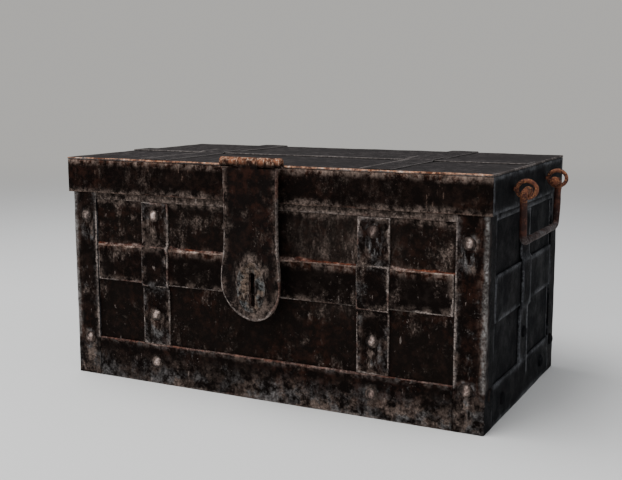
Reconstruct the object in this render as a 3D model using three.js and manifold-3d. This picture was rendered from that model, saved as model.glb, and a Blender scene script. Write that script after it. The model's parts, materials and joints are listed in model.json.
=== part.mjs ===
// An iron strongbox: a riveted plate box bound with straps, a hinged lid with a deep skirt, a swinging
// hasp over a lock staple, and a bail handle in two eyes at each end of the lid.
// Millimetres. The front faces -Y, the lid's hinges are at +Y, +Z is up, and the box stands on z = 0.
import * as THREE from 'three';
import { mergeVertices } from 'three/addons/utils/BufferGeometryUtils.js';
import Module from 'manifold-3d';

const wasm = await Module();
wasm.setup();

// Box
const BODY_WIDTH = 600; // over the corner angles
const BODY_DEPTH = 332; // over the corner angles
const WALL_HEIGHT = 304.8;
const WALL_THICKNESS = 3;
const FLOOR_THICKNESS = 3;
const FLOOR_FLANGE_HEIGHT = 45;
const STRAP_THICKNESS = 3;
const LAY_GAP = 0.2; // between pieces that lie on each other
const BUTT_GAP = 0.4; // between pieces that meet end to end
const WORN_EDGE = 0.8; // width of the worn arris on plates and straps
const SHEET_EDGE = 0.3; // the same on the wall plates and the corner angles
const ROLLED_EDGE = 0.5; // the same along a strap that ends in a rolled knuckle
const OVERRUN = 1; // how far a cut runs past what it cuts

// Straps round the box
const CORNER_LEG_FRONT = 39;
const CORNER_LEG_SIDE = 31;
const CORNER_ROUND = 2.5;
const BOTTOM_BAND_FRONT = 56; // height on the front and back
const BOTTOM_BAND_SIDE = 52;
const TOP_BAND_HEIGHT = 54;
const MID_BAND_BELOW_RIM = 115.8; // from the rim of the box to the top of the middle band
const MID_BAND_FRONT = 50;
const SIDE_MID_BAND_BELOW_RIM = 119.8;
const MID_BAND_SIDE = 57.5;
const MID_BAND_END_GAP = 1.5; // from a corner angle's edge to the end of the band
const WALL_STRAP_WIDTH = 43;
const WALL_STRAP_INSET = 140; // from the side of the box to the middle of a strap
const FRONT_STRAP_SHIFT = -2.8; // the front straps lie a little to the left
const SIDE_STRAP_WIDTH = 38;
const JOGGLE_RUN = 5; // length over which a strap steps up over the band that it crosses
const JOGGLE_CLEARANCE = 1;

// Rivets
const RIVET_HEAD_RADIUS = 8.5;
const RIVET_HEAD_HEIGHT = 4.5;
const RIVET_SHANK_RADIUS = 4;
const RIVET_TAIL_RADIUS = 6.5;
const RIVET_TAIL_HEIGHT = 2;
const RIVET_TAIL_TOP = 5.2; // radius of the tail's flat top
const RIVET_HOLE_CLEARANCE = 0.3;
const STRAP_RIVET_BELOW_RIM = 71.8;
const BACK_STRAP_RIVET_BELOW_RIM = 91.8;
const CORNER_RIVET_BELOW_RIM = 77.8;
const CORNER_RIVET_HEIGHT = 53;
const CORNER_RIVET_INSET = 23; // from the corner of the box
const BAND_RIVET_HEIGHT = 31;
const SIDE_BAND_RIVET_HEIGHT = 26;
const SIDE_BAND_RIVET_OFFSET = 93;
const SIDE_CORNER_RIVET_HEIGHT = 45;
const SIDE_CORNER_RIVET_INSET = 20;

// Lid
const LID_PLATE_THICKNESS = 3;
const SKIRT_THICKNESS = 2.5;
const SKIRT_CLEARANCE = 2; // from the corner angles to the inside of the skirt
const SKIRT_HEIGHT = 48; // from the top of the lid plate to the skirt's lower edge
const LID_STRAP_WIDTH = 40;
const LID_STRAP_THICKNESS = 1.6; // of the lid's straps and of the back straps that hinge on them
const LID_STRAP_SETBACK = 2; // from the lid's edge to a strap's end

// Lid hinges
const HINGE_RADIUS = 7; // outside of the rolled knuckles
const HINGE_DROP = 3; // from the skirt's lower edge down to the hinge axis
const HINGE_KNUCKLE_WIDTH = 15; // the box's knuckle, between the lid's two
const HINGE_STEP_RUN = 15; // length over which a back strap steps out to its knuckle
const KNUCKLE_GAP = 0.5;
const PIN_CLEARANCE = 0.4;
const PIN_HEAD_RADIUS = 6;
const PIN_HEAD_LENGTH = 2.5;
const ROLL_SWEEP = THREE.MathUtils.degToRad(280); // how far a rolled knuckle goes round its pin

// Hasp
const HASP_AXIS_ABOVE_LID = 3.7; // from the lid plate's top to the hasp's pivot
const HASP_AXIS_OUT = 14; // from the skirt to the hasp's pivot
const HASP_BARREL_RADIUS = 6.3;
const HASP_BARREL_LEFT = -44; // ends of the barrel along the lid's front edge
const HASP_BARREL_RIGHT = 42.5;
const HASP_KNUCKLE_LEFT = -16; // ends of the swinging knuckle in the barrel
const HASP_KNUCKLE_RIGHT = 12;
const HASP_PIN_END = 1; // how far the pin stands out of the barrel
const HASP_ROLL_THICKNESS = 3.4;
const HASP_ROLL_START = 2; // from the pivot down to where the plate turns into its roll
const HASP_PLATE_THICKNESS = 5.5;
const HASP_PLATE_FACE_OUT = 6; // from the pivot to the front of the plate
const HASP_PLATE_WIDTH = 77.5;
const HASP_PLATE_X = -0.25; // the plate's middle line
const HASP_END_WIDTH = 86;
const HASP_END_X = -1; // the round end's middle line
const HASP_EDGE = 1; // width of the worn arris
const HASP_NECK_DROP = 7; // from the pivot to the shoulders beside the swinging knuckle
const HASP_LENGTH = 200.7; // from the pivot to the tip
const HASP_END_HEIGHT = 48.5; // from the tip up to the widest place
const HASP_FLARE_RUN = 56; // height over which the plate widens to its end
const HASP_FLARE_EASE = 0.4; // how gently the widening starts and ends
const HASP_TIP_X = 5; // the hammered tip lies a little to the right
const HASP_END_FULLNESS = 0.55; // how square the round end's shoulders are
const HASP_TIP_FULLNESS_LEFT = 0.6; // how flat the round end is beside its tip
const HASP_TIP_FULLNESS_RIGHT = 0.5;
const LEAF_WIDTH = 58;
const LEAF_LENGTH = 28; // the part that lies on the skirt
const LEAF_RIVET_OFFSET = 18;
const LEAF_BEND_DROP = 20; // from the pivot to where the leaf leaves the skirt

// Slot, boss and staple
const SLOT_ABOVE_TIP = 40; // from the tip to the middle of the slot
const SLOT_X = 2.5;
const SLOT_WIDTH = 9;
const SLOT_HEIGHT = 45;
const BOSS_X = 0.6;
const BOSS_WIDTH = 42;
const BOSS_HEIGHT = 66;
const BOSS_ABOVE_SLOT = 3.5; // from the middle of the slot to the middle of the boss
const BOSS_RISE = 2.6;
const BOSS_LAND = 0.4; // height of the boss's upright rim, between its two slopes
const BOSS_SLOPE = 1.6; // width of each slope
const STAPLE_BAR_RADIUS = 2.1;
const STAPLE_SPREAD = 32; // between the middles of its two shanks
const STAPLE_BEND_RADIUS = 9;
const STAPLE_CLEARANCE = 0.8; // from the staple's nose to the back of the hanging hasp
const CLENCH_RADIUS = 5;
const CLENCH_HEIGHT = 2;

// Handles
const HANDLE_SHIFT = -3; // from the middle of the side towards the front
const EYE_SPACING = 158; // between the two eyes of a handle
const EYE_HOLE_RADIUS = 9.2;
const EYE_HOLE_HEIGHT = 16; // the eye is a little flattened
const EYE_BAR_RADIUS = 2.6;
const EYE_OUT = 15; // from the skirt to the middle of the eye
const EYE_DROP = 24; // from the top of the lid plate to the middle of the eye
const EYE_HEAD_RADIUS = 6;
const EYE_HEAD_HEIGHT = 1;
const BAIL_BAR_RADIUS = 4.5;
const BAIL_OUT = 14; // from the skirt to the bail's pivot
const BAIL_KNOB_RADIUS = 6.2;
const BAIL_KNOB_THICKNESS = 7.4;
const BAIL_SEAT_GAP = 0.3;
const BAIL_LEG_OUTSIDE_EYE = 9.5; // from an eye to the leg beside it
const BAIL_END_INSIDE_EYE = 11; // from an eye to the end of the bar
const BAIL_DROP = 60.5; // from the bail's pivot to the middle of its grip
const BAIL_TAPER = 4; // how far each leg leans in towards the grip
const BAIL_TOP_BEND = 6.5;
const BAIL_GRIP_BEND = 13;

// Facets
const ROUND_SIDES = 14;
const ROLL_STEPS = 16;
const BAR_SIDES = 12;
const BEND_STEPS = 4;
const DOME_RINGS = 3;
const OUTLINE_STEPS = 8;
const FLAT_BEVEL_STEPS = 1;
const BOSS_SLOPE_STEPS = 2;
const EYE_BAR_SIDES = 10;
const EYE_STEPS = 20;
const KNOB_SIDES = 10;
const WELD = 1e-4; // points nearer than this are one

// Places that follow from the sizes above
const STRAP_FACE = LAY_GAP + STRAP_THICKNESS; // outside of a strap, from the wall
const WALL_X = BODY_WIDTH / 2 - STRAP_FACE;
const WALL_Y = BODY_DEPTH / 2 - STRAP_FACE;
const LID_X = BODY_WIDTH / 2 + SKIRT_CLEARANCE + SKIRT_THICKNESS;
const LID_Y = BODY_DEPTH / 2 + SKIRT_CLEARANCE + SKIRT_THICKNESS;
const LID_UNDERSIDE = WALL_HEIGHT + LAY_GAP;
const LID_TOP = LID_UNDERSIDE + LID_PLATE_THICKNESS;
const SKIRT_LOW = LID_TOP - SKIRT_HEIGHT;
const MID_BAND_TOP = WALL_HEIGHT - MID_BAND_BELOW_RIM;
const FRONT_MID_BAND = [MID_BAND_TOP - MID_BAND_FRONT, MID_BAND_TOP]; // low and high edge
const SIDE_MID_BAND_TOP = WALL_HEIGHT - SIDE_MID_BAND_BELOW_RIM;
const SIDE_MID_BAND = [SIDE_MID_BAND_TOP - MID_BAND_SIDE, SIDE_MID_BAND_TOP];
const TOP_BAND_LOW = WALL_HEIGHT - TOP_BAND_HEIGHT;
const LOW_STRAP_RIVET = (BOTTOM_BAND_FRONT + FRONT_MID_BAND[0]) / 2;
const STRAP_RIVET_HEIGHTS = [LOW_STRAP_RIVET, WALL_HEIGHT - STRAP_RIVET_BELOW_RIM];
const BACK_STRAP_RIVET_HEIGHTS = [LOW_STRAP_RIVET, WALL_HEIGHT - BACK_STRAP_RIVET_BELOW_RIM];
const SIDE_STRAP_RIVET_HEIGHT = (BOTTOM_BAND_SIDE + SIDE_MID_BAND[0]) / 2;
const CORNER_RIVET_HEIGHTS = [CORNER_RIVET_HEIGHT, WALL_HEIGHT - CORNER_RIVET_BELOW_RIM];
const WALL_STRAP_OFFSET = BODY_WIDTH / 2 - WALL_STRAP_INSET;
const FRONT_STRAP_X = {
  left: FRONT_STRAP_SHIFT - WALL_STRAP_OFFSET,
  right: FRONT_STRAP_SHIFT + WALL_STRAP_OFFSET,
};
const CORNER_EDGE_X = BODY_WIDTH / 2 - CORNER_LEG_FRONT;
const CORNER_EDGE_Y = BODY_DEPTH / 2 - CORNER_LEG_SIDE;
const HINGE_Z = SKIRT_LOW - HINGE_DROP;
const HINGE_OUT = LAY_GAP + HINGE_RADIUS; // from the skirt to the hinge axis
const HINGE_PIN_RADIUS = HINGE_RADIUS - LID_STRAP_THICKNESS - PIN_CLEARANCE;
const HASP_Z = LID_TOP + HASP_AXIS_ABOVE_LID;
const HASP_PIN_RADIUS = HASP_BARREL_RADIUS - HASP_ROLL_THICKNESS - PIN_CLEARANCE;
const HASP_FACE = HASP_AXIS_OUT + HASP_PLATE_FACE_OUT;
const HASP_BACK = HASP_FACE - HASP_PLATE_THICKNESS;
const HASP_TIP = HASP_Z - HASP_LENGTH;
const SLOT_Z = HASP_TIP + SLOT_ABOVE_TIP;
const EYE_Z = LID_TOP - EYE_DROP;
const BAIL_Z = EYE_Z - (EYE_HOLE_HEIGHT / 2 - BAIL_BAR_RADIUS - BAIL_SEAT_GAP);

const IRON_ROUGHNESS = 0.75;
const IRON_METALNESS = 0.55;
const COLOURS = {
  plate: '#1f1c1b',
  side: '#23262b',
  strap: '#2a2422',
  lid: '#2b2a2e',
  hasp: '#33261f',
  rust: '#8a4a24',
  grip: '#5a4036',
};

// A mesh of its own iron, named as the piece.
function piece(name, geometry, colour) {
  const material = new THREE.MeshStandardMaterial({
    color: colour,
    roughness: IRON_ROUGHNESS,
    metalness: IRON_METALNESS,
  });
  const mesh = new THREE.Mesh(geometry, material);
  mesh.name = name;
  return mesh;
}

// A closed geometry as a solid that can be joined and cut.
function solid(geometry) {
  const bare = geometry.clone();
  bare.deleteAttribute('normal');
  bare.deleteAttribute('uv');
  const merged = mergeVertices(bare, WELD);
  return new wasm.Manifold(
    new wasm.Mesh({
      numProp: 3,
      vertProperties: merged.attributes.position.array,
      triVerts: new Uint32Array(merged.index.array),
    }),
  );
}

function geometryOf(manifold) {
  const mesh = manifold.getMesh();
  const geometry = new THREE.BufferGeometry();
  geometry.setAttribute('position', new THREE.BufferAttribute(new Float32Array(mesh.vertProperties), 3));
  geometry.setIndex(new THREE.BufferAttribute(new Uint32Array(mesh.triVerts), 1));
  const flat = geometry.toNonIndexed();
  flat.computeVertexNormals();
  return flat;
}

function block(x, y, z) {
  const made = new THREE.BoxGeometry(x[1] - x[0], y[1] - y[0], z[1] - z[0]);
  made.translate((x[0] + x[1]) / 2, (y[0] + y[1]) / 2, (z[0] + z[1]) / 2);
  return made;
}

function rectangle(left, right, low, high) {
  const shape = new THREE.Shape();
  shape.moveTo(left, low);
  shape.lineTo(right, low);
  shape.lineTo(right, high);
  shape.lineTo(left, high);
  shape.closePath();
  return shape;
}

// A flat outline given its thickness from back to face, with worn arrises.
function slab(shape, back, face, edge = WORN_EDGE) {
  const made = new THREE.ExtrudeGeometry(shape, {
    depth: face - back - 2 * edge,
    bevelThickness: edge,
    bevelSize: edge,
    bevelOffset: -edge,
    bevelSegments: FLAT_BEVEL_STEPS,
    curveSegments: OUTLINE_STEPS,
  });
  made.translate(0, 0, back + edge);
  return made;
}

// A cylinder along z, whose flat faces are at back and face.
function peg(radius, back, face, x = 0, y = 0, sides = ROUND_SIDES) {
  const made = new THREE.CylinderGeometry(radius, radius, face - back, sides);
  made.rotateX(Math.PI / 2);
  made.translate(x, y, (back + face) / 2);
  return made;
}

// A domed rivet head whose flat side is at base, on a short neck that roots it in its strap.
function rivetHead(x, y, base) {
  const root = STRAP_THICKNESS / 2;
  const profile = [new THREE.Vector2(0, -root), new THREE.Vector2(RIVET_SHANK_RADIUS, -root)];
  profile.push(new THREE.Vector2(RIVET_SHANK_RADIUS, 0));
  profile.push(...domeProfile(RIVET_HEAD_RADIUS, RIVET_HEAD_HEIGHT));
  const made = new THREE.LatheGeometry(profile, ROUND_SIDES);
  made.rotateX(Math.PI / 2);
  made.translate(x, y, base);
  return made;
}

function domeProfile(radius, height) {
  const rings = DOME_RINGS;
  const points = [];
  for (let ring = 0; ring <= rings; ring += 1) {
    const angle = (ring / rings) * (Math.PI / 2);
    points.push(new THREE.Vector2(ring === rings ? 0 : radius * Math.cos(angle), height * Math.sin(angle)));
  }
  return points;
}

// A whole rivet along z: head on the strap's face, shank through the grip, tail hammered down inside.
function rivet(grip) {
  const tail = -grip - LAY_GAP;
  const profile = [
    new THREE.Vector2(0, tail - RIVET_TAIL_HEIGHT),
    new THREE.Vector2(RIVET_TAIL_TOP, tail - RIVET_TAIL_HEIGHT),
    new THREE.Vector2(RIVET_TAIL_RADIUS, tail),
    new THREE.Vector2(RIVET_SHANK_RADIUS, tail),
    new THREE.Vector2(RIVET_SHANK_RADIUS, LAY_GAP),
    ...domeProfile(RIVET_HEAD_RADIUS, RIVET_HEAD_HEIGHT).map((p) => new THREE.Vector2(p.x, p.y + LAY_GAP)),
  ];
  const made = new THREE.LatheGeometry(profile, ROUND_SIDES);
  made.rotateX(Math.PI / 2);
  return made;
}

// A strip bent along a path of points, with its thickness to the left of the path,
// or to the right where the thickness is negative.
function bentStrip(path, thickness) {
  const outer = path.map((point, i) => {
    const before = path[Math.max(i - 1, 0)];
    const after = path[Math.min(i + 1, path.length - 1)];
    const into = i === 0 ? after.clone().sub(point) : point.clone().sub(before);
    const away = i === path.length - 1 ? into.clone() : after.clone().sub(point);
    into.normalize();
    away.normalize();
    const sum = new THREE.Vector2(-into.y - away.y, into.x + away.x);
    const share = thickness / (1 + into.dot(away));
    return point.clone().addScaledVector(sum, share);
  });
  return new THREE.Shape([...path, ...outer.reverse()]);
}

// Points round a pin, from start, turning left for a positive sweep.
function rollPoints(centre, radius, start, sweep, steps) {
  const points = [];
  for (let step = 1; step <= steps; step += 1) {
    const angle = start + (sweep * step) / steps;
    points.push(new THREE.Vector2(centre.x + radius * Math.cos(angle), centre.y + radius * Math.sin(angle)));
  }
  return points;
}

// A side view drawn as x = outwards and y = up, spread along the wall from left to right.
function spread(shape, left, right, edge = WORN_EDGE) {
  const made = slab(shape, left, right, edge);
  const wall = new THREE.Matrix4().makeBasis(
    new THREE.Vector3(0, 0, 1),
    new THREE.Vector3(0, 1, 0),
    new THREE.Vector3(-1, 0, 0),
  );
  made.applyMatrix4(wall);
  made.translate(left + right, 0, 0);
  return made;
}

// A bar through points, each corner but the ends rounded to a bend radius.
class BarPath extends THREE.Curve {
  constructor(corners, bends) {
    super();
    this.nodes = [corners[0]];
    for (let i = 1; i < corners.length - 1; i += 1) {
      this.nodes.push(...BarPath.bend(corners[i - 1], corners[i], corners[i + 1], bends[i - 1]));
    }
    this.nodes.push(corners[corners.length - 1]);
  }

  static bend(before, corner, after, radius) {
    const into = corner.clone().sub(before).normalize();
    const away = after.clone().sub(corner).normalize();
    const turn = into.angleTo(away);
    const cut = radius * Math.tan(turn / 2);
    const centreward = away.clone().sub(into).normalize();
    const centre = corner.clone().addScaledVector(centreward, radius / Math.cos(turn / 2));
    const start = corner.clone().addScaledVector(into, -cut).sub(centre);
    const axis = into.clone().cross(away).normalize();
    return Array.from({ length: BEND_STEPS + 1 }, (_, step) =>
      start.clone().applyAxisAngle(axis, (turn * step) / BEND_STEPS).add(centre),
    );
  }

  getPoint(t) {
    const along = Math.min(Math.max(t, 0), 1) * (this.nodes.length - 1);
    const first = Math.min(Math.floor(along), this.nodes.length - 2);
    return this.nodes[first].clone().lerp(this.nodes[first + 1], along - first);
  }

  getPointAt(u) {
    return this.getPoint(u);
  }

  getTangentAt(u) {
    return this.getTangent(u);
  }
}

function bar(corners, bends, radius) {
  const path = new BarPath(corners, bends);
  const round = new THREE.Shape();
  round.absarc(0, 0, radius, 0, 2 * Math.PI, false);
  return new THREE.ExtrudeGeometry(round, {
    steps: path.nodes.length - 1,
    extrudePath: path,
    curveSegments: BAR_SIDES / 2,
  });
}

// A flat drawing board on one side of the box: x along the side, y up, z outwards from the board.
function board(turn, distance) {
  const side = new THREE.Group();
  side.rotation.z = turn;
  const upright = new THREE.Group();
  upright.rotation.x = Math.PI / 2;
  upright.position.y = -distance;
  side.add(upright);
  side.board = upright;
  return side;
}

const FRONT = 0;
const RIGHT = Math.PI / 2;
const BACK = Math.PI;
const LEFT = -Math.PI / 2;

// Box

function floorTray() {
  const x = WALL_X - WALL_THICKNESS - LAY_GAP;
  const y = WALL_Y - WALL_THICKNESS - LAY_GAP;
  const outside = solid(block([-x, x], [-y, y], [0, FLOOR_FLANGE_HEIGHT]));
  const inside = solid(
    block(
      [-x + FLOOR_THICKNESS, x - FLOOR_THICKNESS],
      [-y + FLOOR_THICKNESS, y - FLOOR_THICKNESS],
      [FLOOR_THICKNESS, FLOOR_FLANGE_HEIGHT + OVERRUN],
    ),
  );
  let tray = outside.subtract(inside);
  for (const strapX of Object.values(FRONT_STRAP_X)) {
    const hole = peg(RIVET_SHANK_RADIUS + RIVET_HOLE_CLEARANCE, -FLOOR_THICKNESS, 2 * FLOOR_THICKNESS);
    hole.rotateX(Math.PI / 2);
    hole.translate(strapX, -y, BAND_RIVET_HEIGHT);
    tray = tray.subtract(solid(hole));
  }
  return piece('floor_tray', geometryOf(tray), COLOURS.plate);
}

// The front rivets: each one's place on the board, and what it holds together.
function frontRivets() {
  const sheet = STRAP_FACE + WALL_THICKNESS;
  const places = [];
  for (const [side, x] of [['left', -1], ['right', 1]]) {
    const strapX = FRONT_STRAP_X[side];
    STRAP_RIVET_HEIGHTS.forEach((y, i) => {
      places.push({ name: `rivet_strap_${side}_${i + 1}`, x: strapX, y, grip: sheet });
    });
    CORNER_RIVET_HEIGHTS.forEach((y, i) => {
      const cornerX = x * (BODY_WIDTH / 2 - CORNER_RIVET_INSET);
      places.push({ name: `rivet_corner_${side}_${i + 1}`, x: cornerX, y, grip: sheet });
    });
    const throughTray = sheet + LAY_GAP + FLOOR_THICKNESS;
    places.push({ name: `rivet_band_${side}`, x: strapX, y: BAND_RIVET_HEIGHT, grip: throughTray });
  }
  return places;
}

function withRivetHoles(manifold, places, back, face) {
  return places.reduce(
    (cut, place) =>
      cut.subtract(solid(peg(RIVET_SHANK_RADIUS + RIVET_HOLE_CLEARANCE, back, face, place.x, place.y))),
    manifold,
  );
}

function panel(name, halfWidth, colour, holes = []) {
  const flat = solid(slab(rectangle(-halfWidth, halfWidth, 0, WALL_HEIGHT), -WALL_THICKNESS, 0, SHEET_EDGE));
  const cut = withRivetHoles(flat, holes, -2 * WALL_THICKNESS, WALL_THICKNESS);
  return piece(name, geometryOf(cut), colour);
}

// A flat band on the wall from one corner angle to the other, with rivet heads or rivet holes.
function band(name, halfWidth, low, high, colour, { heads = [], holes = [] } = {}) {
  let made = solid(slab(rectangle(-halfWidth, halfWidth, low, high), LAY_GAP, STRAP_FACE));
  for (const head of heads) {
    made = made.add(solid(rivetHead(head.x, head.y, STRAP_FACE)));
  }
  made = withRivetHoles(made, holes, -STRAP_THICKNESS, 2 * STRAP_FACE);
  return piece(name, geometryOf(made), colour);
}

// The wall side of a strap that steps up over a band between low and high.
function joggle(low, high) {
  const raised = STRAP_FACE + LAY_GAP;
  return [
    new THREE.Vector2(LAY_GAP, low - JOGGLE_CLEARANCE - JOGGLE_RUN),
    new THREE.Vector2(raised, low - JOGGLE_CLEARANCE),
    new THREE.Vector2(raised, high + JOGGLE_CLEARANCE),
    new THREE.Vector2(LAY_GAP, high + JOGGLE_CLEARANCE + JOGGLE_RUN),
  ];
}

function wallStrap(name, x, width, low, crossed, colour, { heads = [], holes = [] } = {}) {
  const path = [
    new THREE.Vector2(LAY_GAP, low + BUTT_GAP),
    ...joggle(...crossed),
    new THREE.Vector2(LAY_GAP, TOP_BAND_LOW - BUTT_GAP),
  ];
  let made = solid(spread(bentStrip(path, -STRAP_THICKNESS), x - width / 2, x + width / 2));
  for (const head of heads) {
    made = made.add(solid(rivetHead(head.x, head.y, STRAP_FACE)));
  }
  made = withRivetHoles(made, holes, -STRAP_THICKNESS, 2 * STRAP_FACE);
  return piece(name, geometryOf(made), colour);
}

// An angle iron up the corner of the box, drawn for +x and -y and mirrored to the others.
function cornerAngle(name, mirrorX, mirrorY, riveted) {
  const x = BODY_WIDTH / 2;
  const y = -BODY_DEPTH / 2;
  const outline = new THREE.Shape();
  outline.moveTo(x - CORNER_LEG_FRONT, y);
  outline.lineTo(x - CORNER_ROUND, y);
  outline.absarc(x - CORNER_ROUND, y + CORNER_ROUND, CORNER_ROUND, -Math.PI / 2, 0, false);
  outline.lineTo(x, y + CORNER_LEG_SIDE);
  outline.lineTo(x - STRAP_THICKNESS, y + CORNER_LEG_SIDE);
  outline.lineTo(x - STRAP_THICKNESS, y + STRAP_THICKNESS);
  outline.lineTo(x - CORNER_LEG_FRONT, y + STRAP_THICKNESS);
  outline.closePath();
  let made = solid(slab(outline, 0, WALL_HEIGHT, SHEET_EDGE));

  const sideHead = rivetHead(0, 0, 0);
  sideHead.rotateY(Math.PI / 2);
  sideHead.translate(x, y + SIDE_CORNER_RIVET_INSET, SIDE_CORNER_RIVET_HEIGHT);
  made = made.add(solid(sideHead));
  const deep = 2 * STRAP_THICKNESS;
  for (const height of CORNER_RIVET_HEIGHTS) {
    const rivetX = x - CORNER_RIVET_INSET;
    const front = riveted ? rivetHead(0, 0, 0) : peg(RIVET_SHANK_RADIUS + RIVET_HOLE_CLEARANCE, -deep, deep);
    front.rotateX(Math.PI / 2);
    front.translate(rivetX, y, height);
    made = riveted ? made.add(solid(front)) : made.subtract(solid(front));
  }
  const mesh = piece(name, geometryOf(made), COLOURS.strap);
  mesh.scale.set(mirrorX, mirrorY, 1);
  return mesh;
}

// A back strap that runs up to the lid's hinge and is rolled into the middle knuckle.
function hingeStrap(name, x) {
  const centre = new THREE.Vector2(LID_Y - WALL_Y + HINGE_OUT, HINGE_Z);
  const hingeSide = centre.x - HINGE_RADIUS;
  const straight = HINGE_Z - HINGE_RADIUS - KNUCKLE_GAP;
  const path = [
    new THREE.Vector2(LAY_GAP, BOTTOM_BAND_FRONT + BUTT_GAP),
    ...joggle(...FRONT_MID_BAND),
    new THREE.Vector2(LAY_GAP, straight - HINGE_STEP_RUN),
    new THREE.Vector2(hingeSide, straight),
    new THREE.Vector2(hingeSide, HINGE_Z),
    ...rollPoints(centre, HINGE_RADIUS, Math.PI, -ROLL_SWEEP, ROLL_STEPS),
  ];
  const left = x - WALL_STRAP_WIDTH / 2;
  const right = x + WALL_STRAP_WIDTH / 2;
  let made = solid(spread(bentStrip(path, -LID_STRAP_THICKNESS), left, right, ROLLED_EDGE));
  const half = HINGE_KNUCKLE_WIDTH / 2;
  const beside = [straight, HINGE_Z + 2 * HINGE_RADIUS];
  const depth = [0, centre.x + 2 * HINGE_RADIUS];
  for (const across of [[left - OVERRUN, x - half], [x + half, right + OVERRUN]]) {
    made = made.subtract(solid(block(across, beside, depth)));
  }
  for (const height of BACK_STRAP_RIVET_HEIGHTS) {
    made = made.add(solid(rivetHead(x, height, LAY_GAP + LID_STRAP_THICKNESS)));
  }
  return piece(name, geometryOf(made), COLOURS.strap);
}

// The lock staple: a bar bent to a loop, its shanks through the wall and clenched inside.
function lockStaple() {
  const nose = LID_Y + HASP_BACK - STAPLE_CLEARANCE - WALL_Y - STAPLE_BAR_RADIUS;
  const inside = -WALL_THICKNESS - LAY_GAP;
  const upper = STAPLE_SPREAD / 2;
  const corners = [
    new THREE.Vector3(0, upper, inside),
    new THREE.Vector3(0, upper, nose),
    new THREE.Vector3(0, -upper, nose),
    new THREE.Vector3(0, -upper, inside),
  ];
  const bends = [STAPLE_BEND_RADIUS, STAPLE_BEND_RADIUS];
  let made = solid(bar(corners, bends, STAPLE_BAR_RADIUS));
  for (const height of [upper, -upper]) {
    const clench = peg(CLENCH_RADIUS, inside - CLENCH_HEIGHT, inside, 0, height);
    made = made.add(solid(clench));
  }
  const mesh = piece('lock_staple', geometryOf(made), COLOURS.rust);
  mesh.position.set(SLOT_X, SLOT_Z, 0);
  return mesh;
}

function stapleHoles() {
  return [1, -1].map((side) => ({ x: SLOT_X, y: SLOT_Z + (side * STAPLE_SPREAD) / 2 }));
}

// Lid

function lidPlate() {
  const outline = rectangle(-LID_X, LID_X, -LID_Y, LID_Y);
  return piece('lid_plate', slab(outline, LID_UNDERSIDE, LID_TOP), COLOURS.lid);
}

function skirt(name, halfLength, colour, holes = []) {
  const outline = rectangle(-halfLength, halfLength, SKIRT_LOW, LID_UNDERSIDE - LAY_GAP);
  let made = solid(slab(outline, -SKIRT_THICKNESS, 0));
  for (const x of holes) {
    const hole = peg(EYE_BAR_RADIUS + RIVET_HOLE_CLEARANCE, -2 * SKIRT_THICKNESS, SKIRT_THICKNESS, x, EYE_Z);
    made = made.subtract(solid(hole));
  }
  return piece(name, geometryOf(made), colour);
}

function lidLongStrap() {
  const half = LID_X - LID_STRAP_SETBACK;
  const outline = rectangle(-half, half, -LID_STRAP_WIDTH / 2, LID_STRAP_WIDTH / 2);
  const low = LID_TOP + LAY_GAP;
  return piece('lid_strap_long', slab(outline, low, low + LID_STRAP_THICKNESS, ROLLED_EDGE), COLOURS.lid);
}

// A strap from front to back over the lid, down the back skirt and rolled into the lid's two knuckles.
// Its side view has x towards the back and y up.
function lidCrossStrap(name, x) {
  const low = LID_TOP + LAY_GAP;
  const raised = low + LID_STRAP_THICKNESS + LAY_GAP;
  const flat = LID_STRAP_WIDTH / 2 + JOGGLE_CLEARANCE;
  const back = LID_Y + LAY_GAP;
  const centre = new THREE.Vector2(LID_Y + HINGE_OUT, HINGE_Z);
  const path = [
    new THREE.Vector2(-LID_Y + LID_STRAP_SETBACK, low),
    new THREE.Vector2(-flat - JOGGLE_RUN, low),
    new THREE.Vector2(-flat, raised),
    new THREE.Vector2(flat, raised),
    new THREE.Vector2(flat + JOGGLE_RUN, low),
    new THREE.Vector2(back - WORN_EDGE, low),
    new THREE.Vector2(back, low - WORN_EDGE),
    new THREE.Vector2(back, HINGE_Z),
    ...rollPoints(centre, HINGE_RADIUS, Math.PI, ROLL_SWEEP, ROLL_STEPS),
  ];
  const shape = bentStrip(path, LID_STRAP_THICKNESS);
  const strap = solid(spread(shape, x - LID_STRAP_WIDTH / 2, x + LID_STRAP_WIDTH / 2, ROLLED_EDGE));
  const half = HINGE_KNUCKLE_WIDTH / 2 + KNUCKLE_GAP;
  const above = HINGE_RADIUS + 2 * KNUCKLE_GAP;
  const notch = block(
    [x - half, x + half],
    [HINGE_Z - 2 * HINGE_RADIUS, HINGE_Z + above],
    [LID_Y, centre.x + 2 * HINGE_RADIUS],
  );
  return piece(name, geometryOf(strap.subtract(solid(notch))), COLOURS.lid);
}

function hingePin(name, x) {
  const half = LID_STRAP_WIDTH / 2 + KNUCKLE_GAP;
  const shank = solid(peg(HINGE_PIN_RADIUS, -half, half));
  const rightHead = solid(peg(PIN_HEAD_RADIUS, half, half + PIN_HEAD_LENGTH));
  const leftHead = solid(peg(PIN_HEAD_RADIUS, -half - PIN_HEAD_LENGTH, -half));
  const geometry = geometryOf(shank.add(rightHead).add(leftHead));
  geometry.rotateY(Math.PI / 2);
  geometry.translate(x, HINGE_Z, LID_Y + HINGE_OUT);
  return piece(name, geometry, COLOURS.rust);
}

// Hasp

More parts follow.
